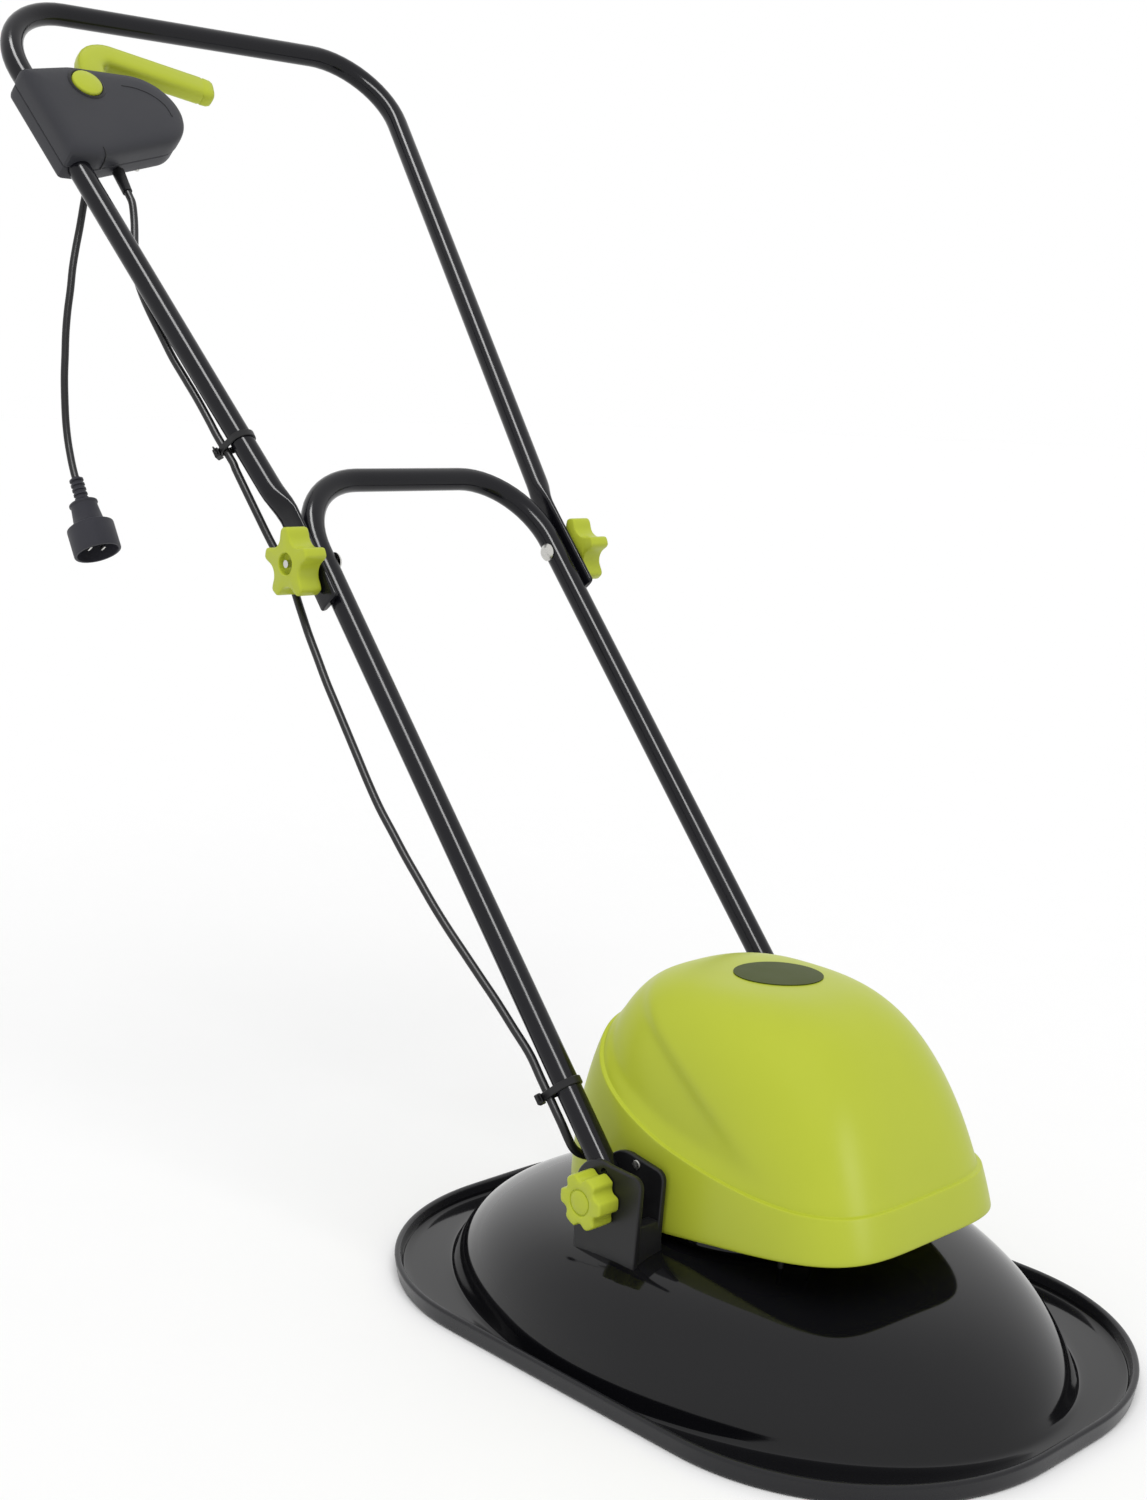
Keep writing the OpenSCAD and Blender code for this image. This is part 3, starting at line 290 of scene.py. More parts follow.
hood_black = finish("hood_black", (0.0035, 0.0035, 0.0045), (0.0055, 0.0055, 0.0065), (0.05, 0.10), 260, 0.02,
                    ior=1.37)
rim_black = finish("rim_black", (0.009, 0.009, 0.011), (0.013, 0.013, 0.015), (0.22, 0.32), 700, 0.1,
                   ior=1.36)
lime = finish("lime", (0.418, 0.480, 0.032), (0.456, 0.516, 0.040), (0.30, 0.40), 1500, 0.08, ior=1.36)
enamel = finish("tube_enamel", (0.004, 0.004, 0.006), (0.006, 0.006, 0.0085), (0.12, 0.20), 420, 0.06,
                ior=1.33)
box_grey = finish("box_grey", (0.022, 0.022, 0.027), (0.028, 0.029, 0.035), (0.42, 0.54), 2200, 0.3, ior=1.4)
bracket_black = finish("bracket_black", (0.008, 0.008, 0.009), (0.013, 0.013, 0.014), (0.26, 0.38), 1400, 0.2,
                       ior=1.38)
cord_black = finish("cord_black", (0.007, 0.007, 0.008), (0.011, 0.011, 0.012), (0.30, 0.42), 1800, 0.15,
                    ior=1.4)
rubber = finish("plug_rubber", (0.019, 0.019, 0.026), (0.027, 0.027, 0.035), (0.46, 0.58), 1600, 0.3,
                ior=1.42)
zinc = finish("zinc", (0.50, 0.49, 0.46), (0.66, 0.66, 0.64), (0.22, 0.38), 1200, 0.1, metal=1.0,
              cloud_scale=60)
steel = finish("blade_steel", (0.42, 0.42, 0.43), (0.56, 0.56, 0.57), (0.25, 0.42), 500, 0.1, metal=1.0,
               cloud_scale=40)
nickel = finish("nickel", (0.66, 0.65, 0.62), (0.76, 0.75, 0.72), (0.14, 0.24), 900, 0.04, metal=1.0)
iron = finish("varnished_iron", (0.16, 0.10, 0.06), (0.24, 0.16, 0.10), (0.40, 0.55), 700, 0.2, metal=0.6)
copper = finish("copper", (0.62, 0.32, 0.18), (0.74, 0.42, 0.26), (0.25, 0.38), 700, 0.1, metal=1.0)
carbon = finish("carbon", (0.010, 0.010, 0.010), (0.020, 0.020, 0.020), (0.55, 0.7), 1200, 0.3)
red = finish("spacer_red", (0.50, 0.04, 0.02), (0.60, 0.06, 0.03), (0.4, 0.5), 1200, 0.15)
cream = finish("block_cream", (0.62, 0.58, 0.46), (0.70, 0.66, 0.54), (0.4, 0.5), 1200, 0.1)
badge_green = finish("badge_green", (0.036, 0.050, 0.001), (0.044, 0.060, 0.002), (0.36, 0.46), 1500, 0.05,
                     ior=1.2)
print("finishes:", len(bpy.data.materials))


def dress(piece, made):
    """Paint a piece with one finish."""
    piece.data.materials.clear()
    piece.data.materials.append(made)
    return piece


def settle(piece, made, body, slot, *stands_for):
    """Paint a piece, let it ride on its body and hide the solids that it stands for. The slot is not used."""
    dress(piece, made)
    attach(piece, body)
    if stands_for:
        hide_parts(*stands_for)
    return piece


# %% [markdown]
# ## Solids that stay
# The motor, the fan, the blade and the small fasteners are right as they are. Each keeps its solid and gets
# the finish of its material slot. The screws of the motor bracket and of the cover are blackened ones, so
# those two nodes differ from their slot.

# %% Finishes on the solids
by_slot = {"hood_black": hood_black, "lime": lime, "zinc": zinc, "frame_plastic": bracket_black,
           "can_steel": steel, "laminations": iron, "copper": copper, "carbon": carbon, "spacer_red": red,
           "tube_black": enamel, "box_grey": box_grey, "block_cream": cream, "cord_black": cord_black,
           "pin_nickel": nickel}
for entry in frame["record"]["subparts"]:
    dress(nodes[entry["node"]], by_slot[entry["material_slot"]])
for name in ("bracket_screws", "cover_screws"):
    dress(nodes[name], bracket_black)

# %% [markdown]
# ## Cords
# The mains tail hangs from the box's floor to its shrouded plug, and the motor lead runs down the right
# leg, held by two ties, into the cover. A few route points are enough: a smooth curve through them is
# sampled every few millimetres and swept by a round section. The two stretches of the lead that cross a
# joint ride on no body and stay where they are drawn.

# %% Cord routes
CORD_D = 6.4
TAIL = [(-650.2, -159.5, 813.1), (-651.1, -159.5, 808.2), (-653, -161, 797), (-654, -164, 780),
        (-654, -168, 763), (-653, -172, 746), (-652, -175, 728), (-652, -178, 710), (-652, -180, 692),
        (-652, -181, 674), (-652, -182, 656), (-652, -182, 638), (-651, -182, 620), (-648, -182, 603),
        (-643, -182, 587), (-638.5, -182, 576.3), (-636, -182, 572)]
UPPER = [(-6, -142.5, 908), (-6, -142.5, 903), (-6, -143, 895), (-11, -145, 880), (-15, -150, 862),
         (-17, -156, 844), (-17, -162, 825), (-16, -165, 805), (-15, -166, 784), (-15, -165, 762),
         (-15, -164, 740), (-14, -162, 718), (-13, -160, 696), (-12, -159, 674), (-12, -158.1, 659.7),
         (-12, -156.2, 645.8)]
MIDDLE = [(-12, -156.2, 645.8), (-12, -154.4, 631.9), (-13, -154, 628), (-16, -151, 610), (-20, -147, 591),
          (-25, -142, 571), (-29, -137, 550), (-31, -135, 529), (-33, -136, 508), (-34, -138, 486),
          (-35, -139, 464), (-36, -140, 442), (-37, -140, 420), (-38, -140, 398), (-39, -140, 376),
          (-40, -140, 354), (-40, -140, 332), (-38, -140, 310), (-36, -140, 288), (-33, -140, 266),
          (-30, -140, 244), (-27, -139, 222), (-23, -138, 200), (-19, -137, 178), (-16, -135, 156),
          (-14, -133, 134), (-12, -131, 112), (-12, -131, 94), (-12, -131, 80)]
LOWER = [tuple(handle(-12, -131, 80)), tuple(handle(-12, -131, 66)), (-71.6, -130.2, 151.5),
         (-68.2, -128, 143), (-66, -124.8, 135.4), (-64.8, -119, 129.8), (-64, -110, 126), (-64, -105, 126)]


def smooth_route(points, step=3.0):
    """Points every few millimetres on a smooth curve through the route."""
    points = [Vector(p) for p in points]
    ends = [2 * points[0] - points[1]] + points + [2 * points[-1] - points[-2]]
    run = []
    for a, b, c, d in zip(ends, ends[1:], ends[2:], ends[3:]):
        count = max(2, round((c - b).length / step))
        for k in range(count):
            t = k / count
            run.append(0.5 * (2 * b + (c - a) * t + (2 * a - 5 * b + 4 * c - d) * t * t
                              + (3 * b - a - 3 * c + d) * t ** 3))
    return run + [points[-1]]


def circle(count):
    """Cosine and sine of evenly spaced angles round a circle."""
    return [(math.cos(2 * math.pi * i / count), math.sin(2 * math.pi * i / count)) for i in range(count)]


def round_sweep(name, run, radius, sides=16):
    """A round rod along a run of points, its section carried along without twist."""
    loops, side = [], None
    for k, p in enumerate(run):
        ahead = (run[min(k + 1, len(run) - 1)] - run[max(k - 1, 0)]).normalized()
        side = ahead.orthogonal() if side is None else side - ahead * side.dot(ahead)
        side.normalize()
        other = ahead.cross(side)
        r = radius(k) if callable(radius) else radius
        loops.append([p + r * (side * c + other * s) for c, s in circle(sides)])
    return draw_out(name, loops, angle=50)


# %% Mains tail
tail_run = smooth_route(TAIL)
tail_cord = round_sweep("tail_cord", tail_run, CORD_D / 2)
settle(tail_cord, cord_black, "upper_handle", "cord_black", "mains_tail")

# %% Motor lead in three stretches
upper_cord = round_sweep("lead_cord_upper", smooth_route([handle(*p) for p in UPPER]), CORD_D / 2)
settle(upper_cord, cord_black, "upper_handle", "cord_black", "lead_upper")
middle_cord = round_sweep("lead_cord_middle", smooth_route([handle(*p) for p in MIDDLE]), CORD_D / 2)
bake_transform(middle_cord)
lower_cord = round_sweep("lead_cord_lower", smooth_route(LOWER), CORD_D / 2)
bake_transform(lower_cord)
for stretch, node in ((middle_cord, "lead_middle"), (lower_cord, "lead_lower")):
    dress(stretch, cord_black)
    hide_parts(node)

# %% [markdown]
# ## Hood
# The hood is one glossy moulding: a flat sole, a rim that flares a little and has a rounded lip, a shallow
# tray and a dome that rises steeply from it to the air inlet. Its outlines change from a straight-sided
# oval at the rim to an ellipse at the dome and a circle at the inlet, so it is drawn out loop by loop, over
# the top and back down the inside, and the last loop is bridged to the first.

# %% Outlines of the hood
SETBACK = 6
LONG_STRAIGHT, SIDE_STRAIGHT, CORNER_R = 112, 30, 165
SIDE_STEPS, CORNER_STEPS, LONG_STEPS = 3, 24, 5
QUARTER = SIDE_STEPS + CORNER_STEPS + LONG_STEPS
RIM_HALF_X, RIM_HALF_Y = LONG_STRAIGHT + CORNER_R, SIDE_STRAIGHT + CORNER_R
rim_places = []
for i in range(4 * QUARTER):
    turn, part = divmod(i, QUARTER)
    k = part if turn % 2 == 0 else QUARTER - part
    bend = math.radians(90) * max(0, min(k - SIDE_STEPS, CORNER_STEPS)) / CORNER_STEPS
    sx = 1 if turn in (0, 3) else -1
    sy = 1 if turn in (0, 1) else -1
    on_long = 1 - max(0, k - SIDE_STEPS - CORNER_STEPS) / LONG_STEPS
    on_side = min(k, SIDE_STEPS) / SIDE_STEPS
    rim_places.append((sx * LONG_STRAIGHT * on_long, sx * math.cos(bend),
                       sy * SIDE_STRAIGHT * on_side, sy * math.sin(bend)))


def rim_loop(inset, z):
    """The rim's outline, drawn in by an inset."""
    r = CORNER_R - inset
    return [(x + r * c - SETBACK, y + r * s, z) for x, c, y, s in rim_places]


def dome_loop(a, b, z, x0=-SETBACK):
    """An ellipse whose points lie in the directions of the rim's points."""
    angles = [math.atan2((y + CORNER_R * s) / RIM_HALF_Y, (x + CORNER_R * c) / RIM_HALF_X)
              for x, c, y, s in rim_places]
    return [(a * math.cos(t) + x0, b * math.sin(t), z) for t in angles]


def rounding(t, curve):
    """What a rounded curve has left at a share of its way."""
    return max(0.0, 1 - t ** curve[0]) ** (1 / curve[1])


print("points in a loop:", len(rim_places))

# %% Hood moulding
DOME_HALF_X, DOME_HALF_Y = 251, 183
DOME_FOOT, DOME_HEIGHT = 5, 77
SIDE_POWER, DOME_CURVE = 0.52, (3.4, 1.45)
HOOD_WALL = 3
RIM_PROFILE = [(3.6, 0), (2.4, 0.5), (1.8, 2), (0.4, 11), (0, 12.3), (0.4, 13.4), (1.5, 14), (3.3, 14),
               (4.6, 13.4), (5.2, 12.2), (6.0, 6.5), (6.8, 4.2), (8.4, 3.1)]
TRAY_PROFILE = [(259, 186.4, 3), (255.6, 185.2, 3.3), (253.2, 184.1, 4.4), (251.9, 183.4, 6.4)]
INLET_PROFILE = [(94, 80.4), (91, 81), (90, 82), (90, 85), (89, 86), (76, 86), (75, 85), (75, 69), (76, 68),
                 (90, 68)]
shares = [math.cos(math.radians(66 * k / 22)) for k in range(2, 23)]


def dome_skin(wall, steps):
    """Loops over the dome, drawn in by a wall."""
    return [dome_loop((DOME_HALF_X - wall) * t, (DOME_HALF_Y - wall) * t ** SIDE_POWER,
                      DOME_FOOT + (DOME_HEIGHT - wall) * rounding(t, DOME_CURVE)) for t in steps]


inner_x, inner_y = DOME_HALF_X - HOOD_WALL, DOME_HALF_Y - HOOD_WALL
hood_loops = [rim_loop(inset, z) for inset, z in RIM_PROFILE]
hood_loops += [dome_loop(a, b, z) for a, b, z in TRAY_PROFILE]
hood_loops += dome_skin(0, shares)
hood_loops += [dome_loop(r, r, z, 0) for r, z in INLET_PROFILE]
hood_loops += dome_skin(HOOD_WALL, reversed(shares))
hood_loops += [dome_loop(inner_x, inner_y, 4), dome_loop(inner_x, inner_y, 0.6)]
hood_loops += [dome_loop(inner_x + 1, inner_y + 1, 0)]
hood_skin = draw_out("hood_skin", hood_loops, closed=True, levels=1, angle=60)
settle(hood_skin, hood_black, "deck", "hood_black", "hood")

# %% Satin rim
RIM_BAND, SOLE_EDGE = 6, 0.3
hood_skin.data.materials.append(rim_black)
for face in hood_skin.data.polygons:
    middle = face.center / MM
    out = math.hypot(max(0, abs(middle.x + SETBACK) - LONG_STRAIGHT), max(0, abs(middle.y) - SIDE_STRAIGHT))
    if out > CORNER_R - RIM_BAND and middle.z > SOLE_EDGE:
        face.material_index = 1
print("rim faces:", sum(f.material_index for f in hood_skin.data.polygons))

# %% [markdown]
# ## Brackets
# Each handle leg stands between two upright plates with a rounded head and a lower front shoulder, tied by
# a front web. One plate is drawn as a flat outline and extruded; a bevel rounds its edges. The left side is
# a mirrored copy.

# %% Handle brackets
def slab(name, outline, direction, bevel, segments=3):
    """A flat outline extruded along a direction, its edges rounded. All in millimetres."""
    shift = Vector(direction)
    piece = draw_out(name, [outline, [Vector(p) + shift for p in outline]])
    return soften(modify(piece, "BEVEL", width=bevel * MM, segments=segments, limit_method="ANGLE"))


def arc(cx, cz, r, a0, a1, count):
    """Points of an arc between two angles in degrees."""
    angles = [math.radians(a0 + (a1 - a0) * k / count) for k in range(count + 1)]
    return [(cx + r * math.cos(t), cz + r * math.sin(t)) for t in angles]


def join(name, pieces):
    """Make several pieces one mesh under a name."""
    take(pieces[0])
    for piece in pieces[1:]:
        piece.select_set(True)
    bpy.ops.object.join()
    pieces[0].name = name
    return pieces[0]


def mirrored(piece, name):
    """A copy on the other side, turned right side out again."""
    take(piece)
    bpy.ops.object.duplicate()
    copy = bpy.context.object
    copy.name = name
    copy.data.transform(Matrix.Scale(-1, 4, (0, 1, 0)))
    copy.data.flip_normals()
    return copy


HEAD_R, SHOULDER_R, FOOT_INSET = 25, 8, 5
FOOT_Z, WEB_Z = 55, 101
INNER_Y, INNER_SPAN = -108, (0, -28, 0)
PLATE_T, PLATE_BEVEL = (0, -4.5, 0), 1.2
PLATES = [(106.8, 9, 137), (132.7, 13, 139)]
DETENT, DETENT_R = Vector((-21.8, -135, 133.9)), 3.1


def bracket_outline(y, front, top):
    """Side view of a bracket plate."""
    head = arc(PIVOT.x, PIVOT.z, HEAD_R, 75, 180, 14)
    shoulder = arc(front - SHOULDER_R, top - SHOULDER_R, SHOULDER_R, 0, 90, 7)
    foot = [(PIVOT.x - HEAD_R, FOOT_Z), (front - FOOT_INSET, FOOT_Z)]
    return [(x, y, z) for x, z in foot + shoulder + head]


def bar(centre, radius, depth, vertices):
    """A round bar across the mower, in millimetres."""
    fresh()
    bpy.ops.mesh.primitive_cylinder_add(vertices=vertices, radius=radius * MM, depth=depth * MM,
                                        location=centre * MM, rotation=(math.pi / 2, 0, 0))
    return bpy.context.object


plates = [slab("plate", bracket_outline(-y, front, top), PLATE_T, PLATE_BEVEL) for y, front, top in PLATES]
punch = bar(DETENT, DETENT_R, depth=20, vertices=32)
modify(plates[1], "BOOLEAN", operation="DIFFERENCE", object=punch)
bpy.data.objects.remove(punch)
web_outline = [(-4, INNER_Y, FOOT_Z), (10, INNER_Y, FOOT_Z), (6, INNER_Y, WEB_Z), (-4, INNER_Y, WEB_Z)]
plates.append(slab("web", web_outline, INNER_SPAN, PLATE_BEVEL))
floor_outline = [(-49, INNER_Y, FOOT_Z), (0, INNER_Y, FOOT_Z), (0, INNER_Y, 78), (-49, INNER_Y, 74)]
plates.append(slab("floor", floor_outline, INNER_SPAN, 1.0))
bracket_right = join("bracket_right", plates)
bracket_left = mirrored(bracket_right, "bracket_left")
for piece in (bracket_right, bracket_left):
    settle(piece, bracket_black, "deck", "hood_black")

# %% Bracket screws
SCREW, SCREW_R, SCREW_BEVEL = Vector((-16.3, -110.8, 134.6)), 3.4, 0.6
screw_right = bar(SCREW, SCREW_R, depth=3, vertices=40)
screw_right.name = "bracket_screw_right"
bpy.ops.object.transform_apply(location=True, rotation=True, scale=True)
modify(screw_right, "BEVEL", width=SCREW_BEVEL * MM, segments=3, limit_method="ANGLE")
soften(screw_right, 40)
screw_left = mirrored(screw_right, "bracket_screw_left")
for piece in (screw_right, screw_left):
    settle(piece, zinc, "deck", "zinc")

# %% [markdown]
# ## Motor cover
# The cover is a squarish dome that leans back, with a skirt that stands proud. The skirt's upper line
# starts high at the rear and sweeps down to the front, and a soft fold crosses each side above it. All of
# this is a matter of where each loop lies, so the cover is drawn out from its lower edge, and a wall is
# given to it at the end.

# %% Cover outlines
COVER_SIDES = 120
FRONT_REACH, REAR_REACH, HALF_WIDTH = 160, 120.5, 103.4
COVER_FOOT, CROWN = 88, 254
LENGTH_CURVE, WIDTH_CURVE = (1.3, 4.35), (2.6, 4.85)
SQUARE, SQUARE_LOSS, SQUARE_POWER = 4.7, 2.2, 1.25
SET_BACK_AT_CROWN = 14.5
SKIRT_FRONT, SKIRT_SWEEP, SKIRT_POWER = 135, 76, 2.3
EDGE_FRONT, EDGE_DROP, EDGE_POWER = 107, 19, 1.2
FOLD_AT_AXIS, FOLD_SLOPE, FOLD_DEPTH, FOLD_END = 209, 0.65, 3.8, 98
FOLD_SOFT, SKIRT_SOFT, FOLD_FADE = 16, 12, 90


def squared(c, s, power):
    """Radius of a squared circle in a direction."""
    return (abs(c) ** power + abs(s) ** power) ** (-1 / power)


def cover_loop(share, low, ledge=0.0, lift=0.0, shrink=0.0):
    """A loop at a share of the skirt's height, or of the height from the skirt's line to the crown."""
    loop = []
    for c, s in circle(COVER_SIDES):
        forward = squared(c, s, SQUARE) * c
        line = SKIRT_FRONT + SKIRT_SWEEP * ((1 - forward) / 2) ** SKIRT_POWER
        edge = EDGE_FRONT - EDGE_DROP * (1 - max(0, forward)) ** EDGE_POWER
        z = edge + (line - edge) * share if low else line + lift + (CROWN - line - lift) * share
        rise = max(0.0, (z - COVER_FOOT) / (CROWN - COVER_FOOT))
        r = squared(c, s, SQUARE - SQUARE_LOSS * rise ** SQUARE_POWER)
        reach = FRONT_REACH if c > 0 else REAR_REACH
        reach = (reach - ledge - shrink) * rounding(rise, LENGTH_CURVE)
        half = (HALF_WIDTH - ledge - shrink) * rounding(rise, WIDTH_CURVE)
        x = reach * r * c - SET_BACK_AT_CROWN * rise
        below_fold = ease((FOLD_AT_AXIS - FOLD_SLOPE * x - z) / FOLD_SOFT)
        above_skirt = 0 if low else ease((z - line - 1) / SKIRT_SOFT)
        on_side = ease((FOLD_END - x) / FOLD_FADE) * ease((abs(s) - 0.35) / 0.3)
        dip = FOLD_DEPTH * below_fold * above_skirt * on_side
        loop.append((x, half * r * s - math.copysign(dip, s), z))
    return loop


LEDGE, LIFT = 3, 1.4
SKIRT_STEPS = [(0.15, 0.5), (0.6, 0.75), (2.5, 0.8), (2.9, 1.0), (3, 1.6)]
cover_loops = [cover_loop(0, True, shrink=1.2), cover_loop(0.02, True, shrink=0.3)]
cover_loops += [cover_loop(share, True) for share in (0.08, 0.25, 0.45, 0.65, 0.85, 0.96)]
cover_loops += [cover_loop(0, False)]
cover_loops += [cover_loop(0, False, ledge=ledge, lift=lift) for ledge, lift in SKIRT_STEPS]
crown_shares = [math.sin(math.radians(90 * k / 30)) for k in range(1, 30)] + [0.9996, 0.99999]
cover_loops += [cover_loop(share, False, ledge=LEDGE, lift=LIFT) for share in crown_shares]
cover_skin = draw_out("cover_skin", cover_loops)

# %% Cover wall
COVER_WALL = 3
take(cover_skin)
bpy.ops.object.mode_set(mode="EDIT")
mesh = bmesh.from_edit_mesh(cover_skin.data)
opening = [f for f in mesh.faces if f.normal.z < -0.9 and len(f.verts) > 4]
bmesh.ops.delete(mesh, geom=opening, context="FACES_ONLY")
bmesh.update_edit_mesh(cover_skin.data)
bpy.ops.object.mode_set(mode="OBJECT")
modify(cover_skin, "SUBSURF", levels=1, render_levels=1)
modify(cover_skin, "SOLIDIFY", thickness=COVER_WALL * MM, offset=-1)
soften(cover_skin, 50)
settle(cover_skin, lime, "deck", "lime", "cover")
print("cover faces:", len(cover_skin.data.polygons))

# %% [markdown]
# ## Badge
# A thin oval plate lies on the crown. It is left plain. A shrinkwrap lays a flat disc on the cover, and an
# extrusion gives it its thickness.

# %% Oval badge
BADGE_HALF = (32, 28)
BADGE_AT = (3, 6, 275)
BADGE_COS, BADGE_SIN = 0.684, 0.729
BADGE_T, BADGE_GAP, BADGE_INSETS = 0.6, 0.2, (4, 10)
fresh()
bpy.ops.mesh.primitive_circle_add(vertices=64, fill_type="NGON", radius=1)
badge = bpy.context.object
badge.name = "badge"
for v in badge.data.vertices:
    a, b = v.co.x * BADGE_HALF[0], v.co.y * BADGE_HALF[1]
    v.co = (Vector(BADGE_AT) + Vector((a * BADGE_COS - b * BADGE_SIN, a * BADGE_SIN + b * BADGE_COS, 0))) * MM
bpy.ops.object.mode_set(mode="EDIT")
for inset in BADGE_INSETS:
    bpy.ops.mesh.inset(thickness=inset * MM)
bpy.ops.object.mode_set(mode="OBJECT")
modify(badge, "SHRINKWRAP", target=cover_skin, wrap_method="PROJECT", use_project_z=True,
       use_negative_direction=True, use_positive_direction=False, offset=BADGE_GAP * MM)
modify(badge, "SOLIDIFY", thickness=BADGE_T * MM, offset=1)
soften(badge, 40)
settle(badge, badge_green, "deck", "lime")

# %% [markdown]
# ## Handle tubes
# Both halves of the handle are bent from one round tube. The path is a flat U: two legs, two round bends
# and a crossbar. The upper half's ends are squeezed flat where they bolt to the lower half, so its section
# changes from a thin flat oval to the round one on the way up.

# %% Tube path and sweep
TUBE_R, BEND_R = 9.5, 68.0
LEG_STEPS, BEND_STEPS = 12, 14


def u_path(start_y, start_z, bar_half, bar_z, splay):
    """Centre points [y, z] of the left half of a U, from its leg to the middle of its crossbar."""
    sweep = math.pi / 2 + splay
    cy, cz = bar_half - BEND_R * math.tan(sweep / 2), bar_z - BEND_R
    start = Vector((start_y, start_z))
    leg_top = Vector((cy + BEND_R * math.cos(splay), cz - BEND_R * math.sin(splay)))
    run = [tuple(start.lerp(leg_top, k / LEG_STEPS)) for k in range(LEG_STEPS)]
    angles = [-splay + sweep * k / BEND_STEPS for k in range(BEND_STEPS + 1)]
    run += [(cy + BEND_R * math.cos(t), cz + BEND_R * math.sin(t)) for t in angles]
    return run + [(0.0, bar_z)]


def flat_oval(half_y, half_x, power, count=32):
    """A squared oval: points [across, over]."""
    return [(half_y * squared(c, s, power) * c, half_x * squared(c, s, power) * s) for c, s in circle(count)]


def tube(name, half, sections):
    """Sweep sections along the half path, and along its mirror image back down the other leg."""
    run = half + [(-y, z) for y, z in reversed(half[:-1])]
    sections = sections + list(reversed(sections[:-1]))
    loops = []
    for k, (y, z) in enumerate(run):
        a, b = run[max(k - 1, 0)], run[min(k + 1, len(run) - 1)]
        length = math.hypot(b[0] - a[0], b[1] - a[1])
        ty, tz = (b[0] - a[0]) / length, (b[1] - a[1]) / length
        loops.append([handle(u, y + w * tz, z - w * ty) for w, u in sections[k]])
    return draw_out(name, loops, angle=50)


ROUND = flat_oval(TUBE_R, TUBE_R, 2)
LOWER_Y, LOWER_END, LOWER_BAR = 122, -14, 606
lower_half = u_path(LOWER_Y, LOWER_END, LOWER_Y, LOWER_BAR, 0.0)
lower_tube = tube("lower_tube", lower_half, [ROUND] * len(lower_half))
settle(lower_tube, enamel, "lower_handle", "tube_black", "lower_handle")

# %% Upper tube with squeezed ends
UPPER_Y, UPPER_START = 141, 600
UPPER_HALF, UPPER_BAR = 209, 1105
FLARE = math.atan((UPPER_HALF - UPPER_Y) / (UPPER_BAR - UPPER_START))
FLAT_HALF_T, FLAT_HALF_W = 2.75, 11.7
squeezed = [(134.6, 490.0), (134.6, 490.6), (134.6, 492), (134.6, 520), (134.6, 560), (134.8, 574),
            (136, 581), (138, 588), (139.8, 594)]
round_shares = [0, 0, 0, 0, 0, 0.06, 0.3, 0.66, 0.92]
end_scales = [0.8, 0.93, 1, 1, 1, 1, 1, 1, 1]
sections = []
for t, grow in zip(round_shares, end_scales):
    half_t, half_w = FLAT_HALF_T + (TUBE_R - FLAT_HALF_T) * t, FLAT_HALF_W + (TUBE_R - FLAT_HALF_W) * t
    sections.append([(w * grow, u * grow) for w, u in flat_oval(half_t, half_w, 2 + 1.2 * (1 - t))])
upper_half = u_path(UPPER_Y, UPPER_START, UPPER_HALF, UPPER_BAR, FLARE)
upper_tube = tube("upper_tube", squeezed + upper_half, sections + [ROUND] * len(upper_half))
settle(upper_tube, enamel, "upper_handle", "tube_black", "upper_handle")

# %% [markdown]
# ## Cable ties
# Two ties hold the lead to the right leg. A tie's band is the hull of the tube and the cord. A hull can be
# drawn in or let out by any amount: every edge moves, and the nearest edge in each direction gives the new
# outline. The head of the tie and its cut tail sit on the cord's side.

# %% Hull outlines
def hull_edges(points, mid):
    """The edges round a flat cloud of points: outward directions and distances from the middle."""
    hull = []
    for sign in (1, -1):
        chain = []
        for p in sorted(points, reverse=sign < 0):
            while len(chain) > 1 and ((chain[-1][0] - chain[-2][0]) * (p[1] - chain[-2][1])
                                      - (chain[-1][1] - chain[-2][1]) * (p[0] - chain[-2][0])) <= 0:
                chain.pop()
            chain.append(p)
        hull += chain[:-1]
    outs = [(Vector((q[1] - p[1], p[0] - q[0])), Vector(p) - mid) for p, q in zip(hull, hull[1:] + hull[:1])]
    return [(n.normalized(), n.normalized().dot(p)) for n, p in outs if n.length > 1e-6]


def drawn_in(edges, mid, inset, count):
    """Points of a hull's outline, drawn in by an inset."""
    loop = []
    for way in [Vector(q) for q in circle(count)]:
        loop.append(mid + way * min((h - inset) / n.dot(way) for n, h in edges if n.dot(way) > 1e-6))
    return loop


# %% Ties on the lead
BAND_PROFILE = [(0.1, -2.8), (1.2, -2.8), (1.6, -2.4), (1.6, 2.4), (1.2, 2.8), (0.1, 2.8)]
HEAD_OUTLINE, HEAD_HIGH = [(0, 4), (5, 3.6), (5, -3.6), (0, -4)], 7.6
TAIL_OUTLINE, TAIL_HIGH = [(1, 4), (1, 10), (2.2, 10), (2.2, 4)], 4.4


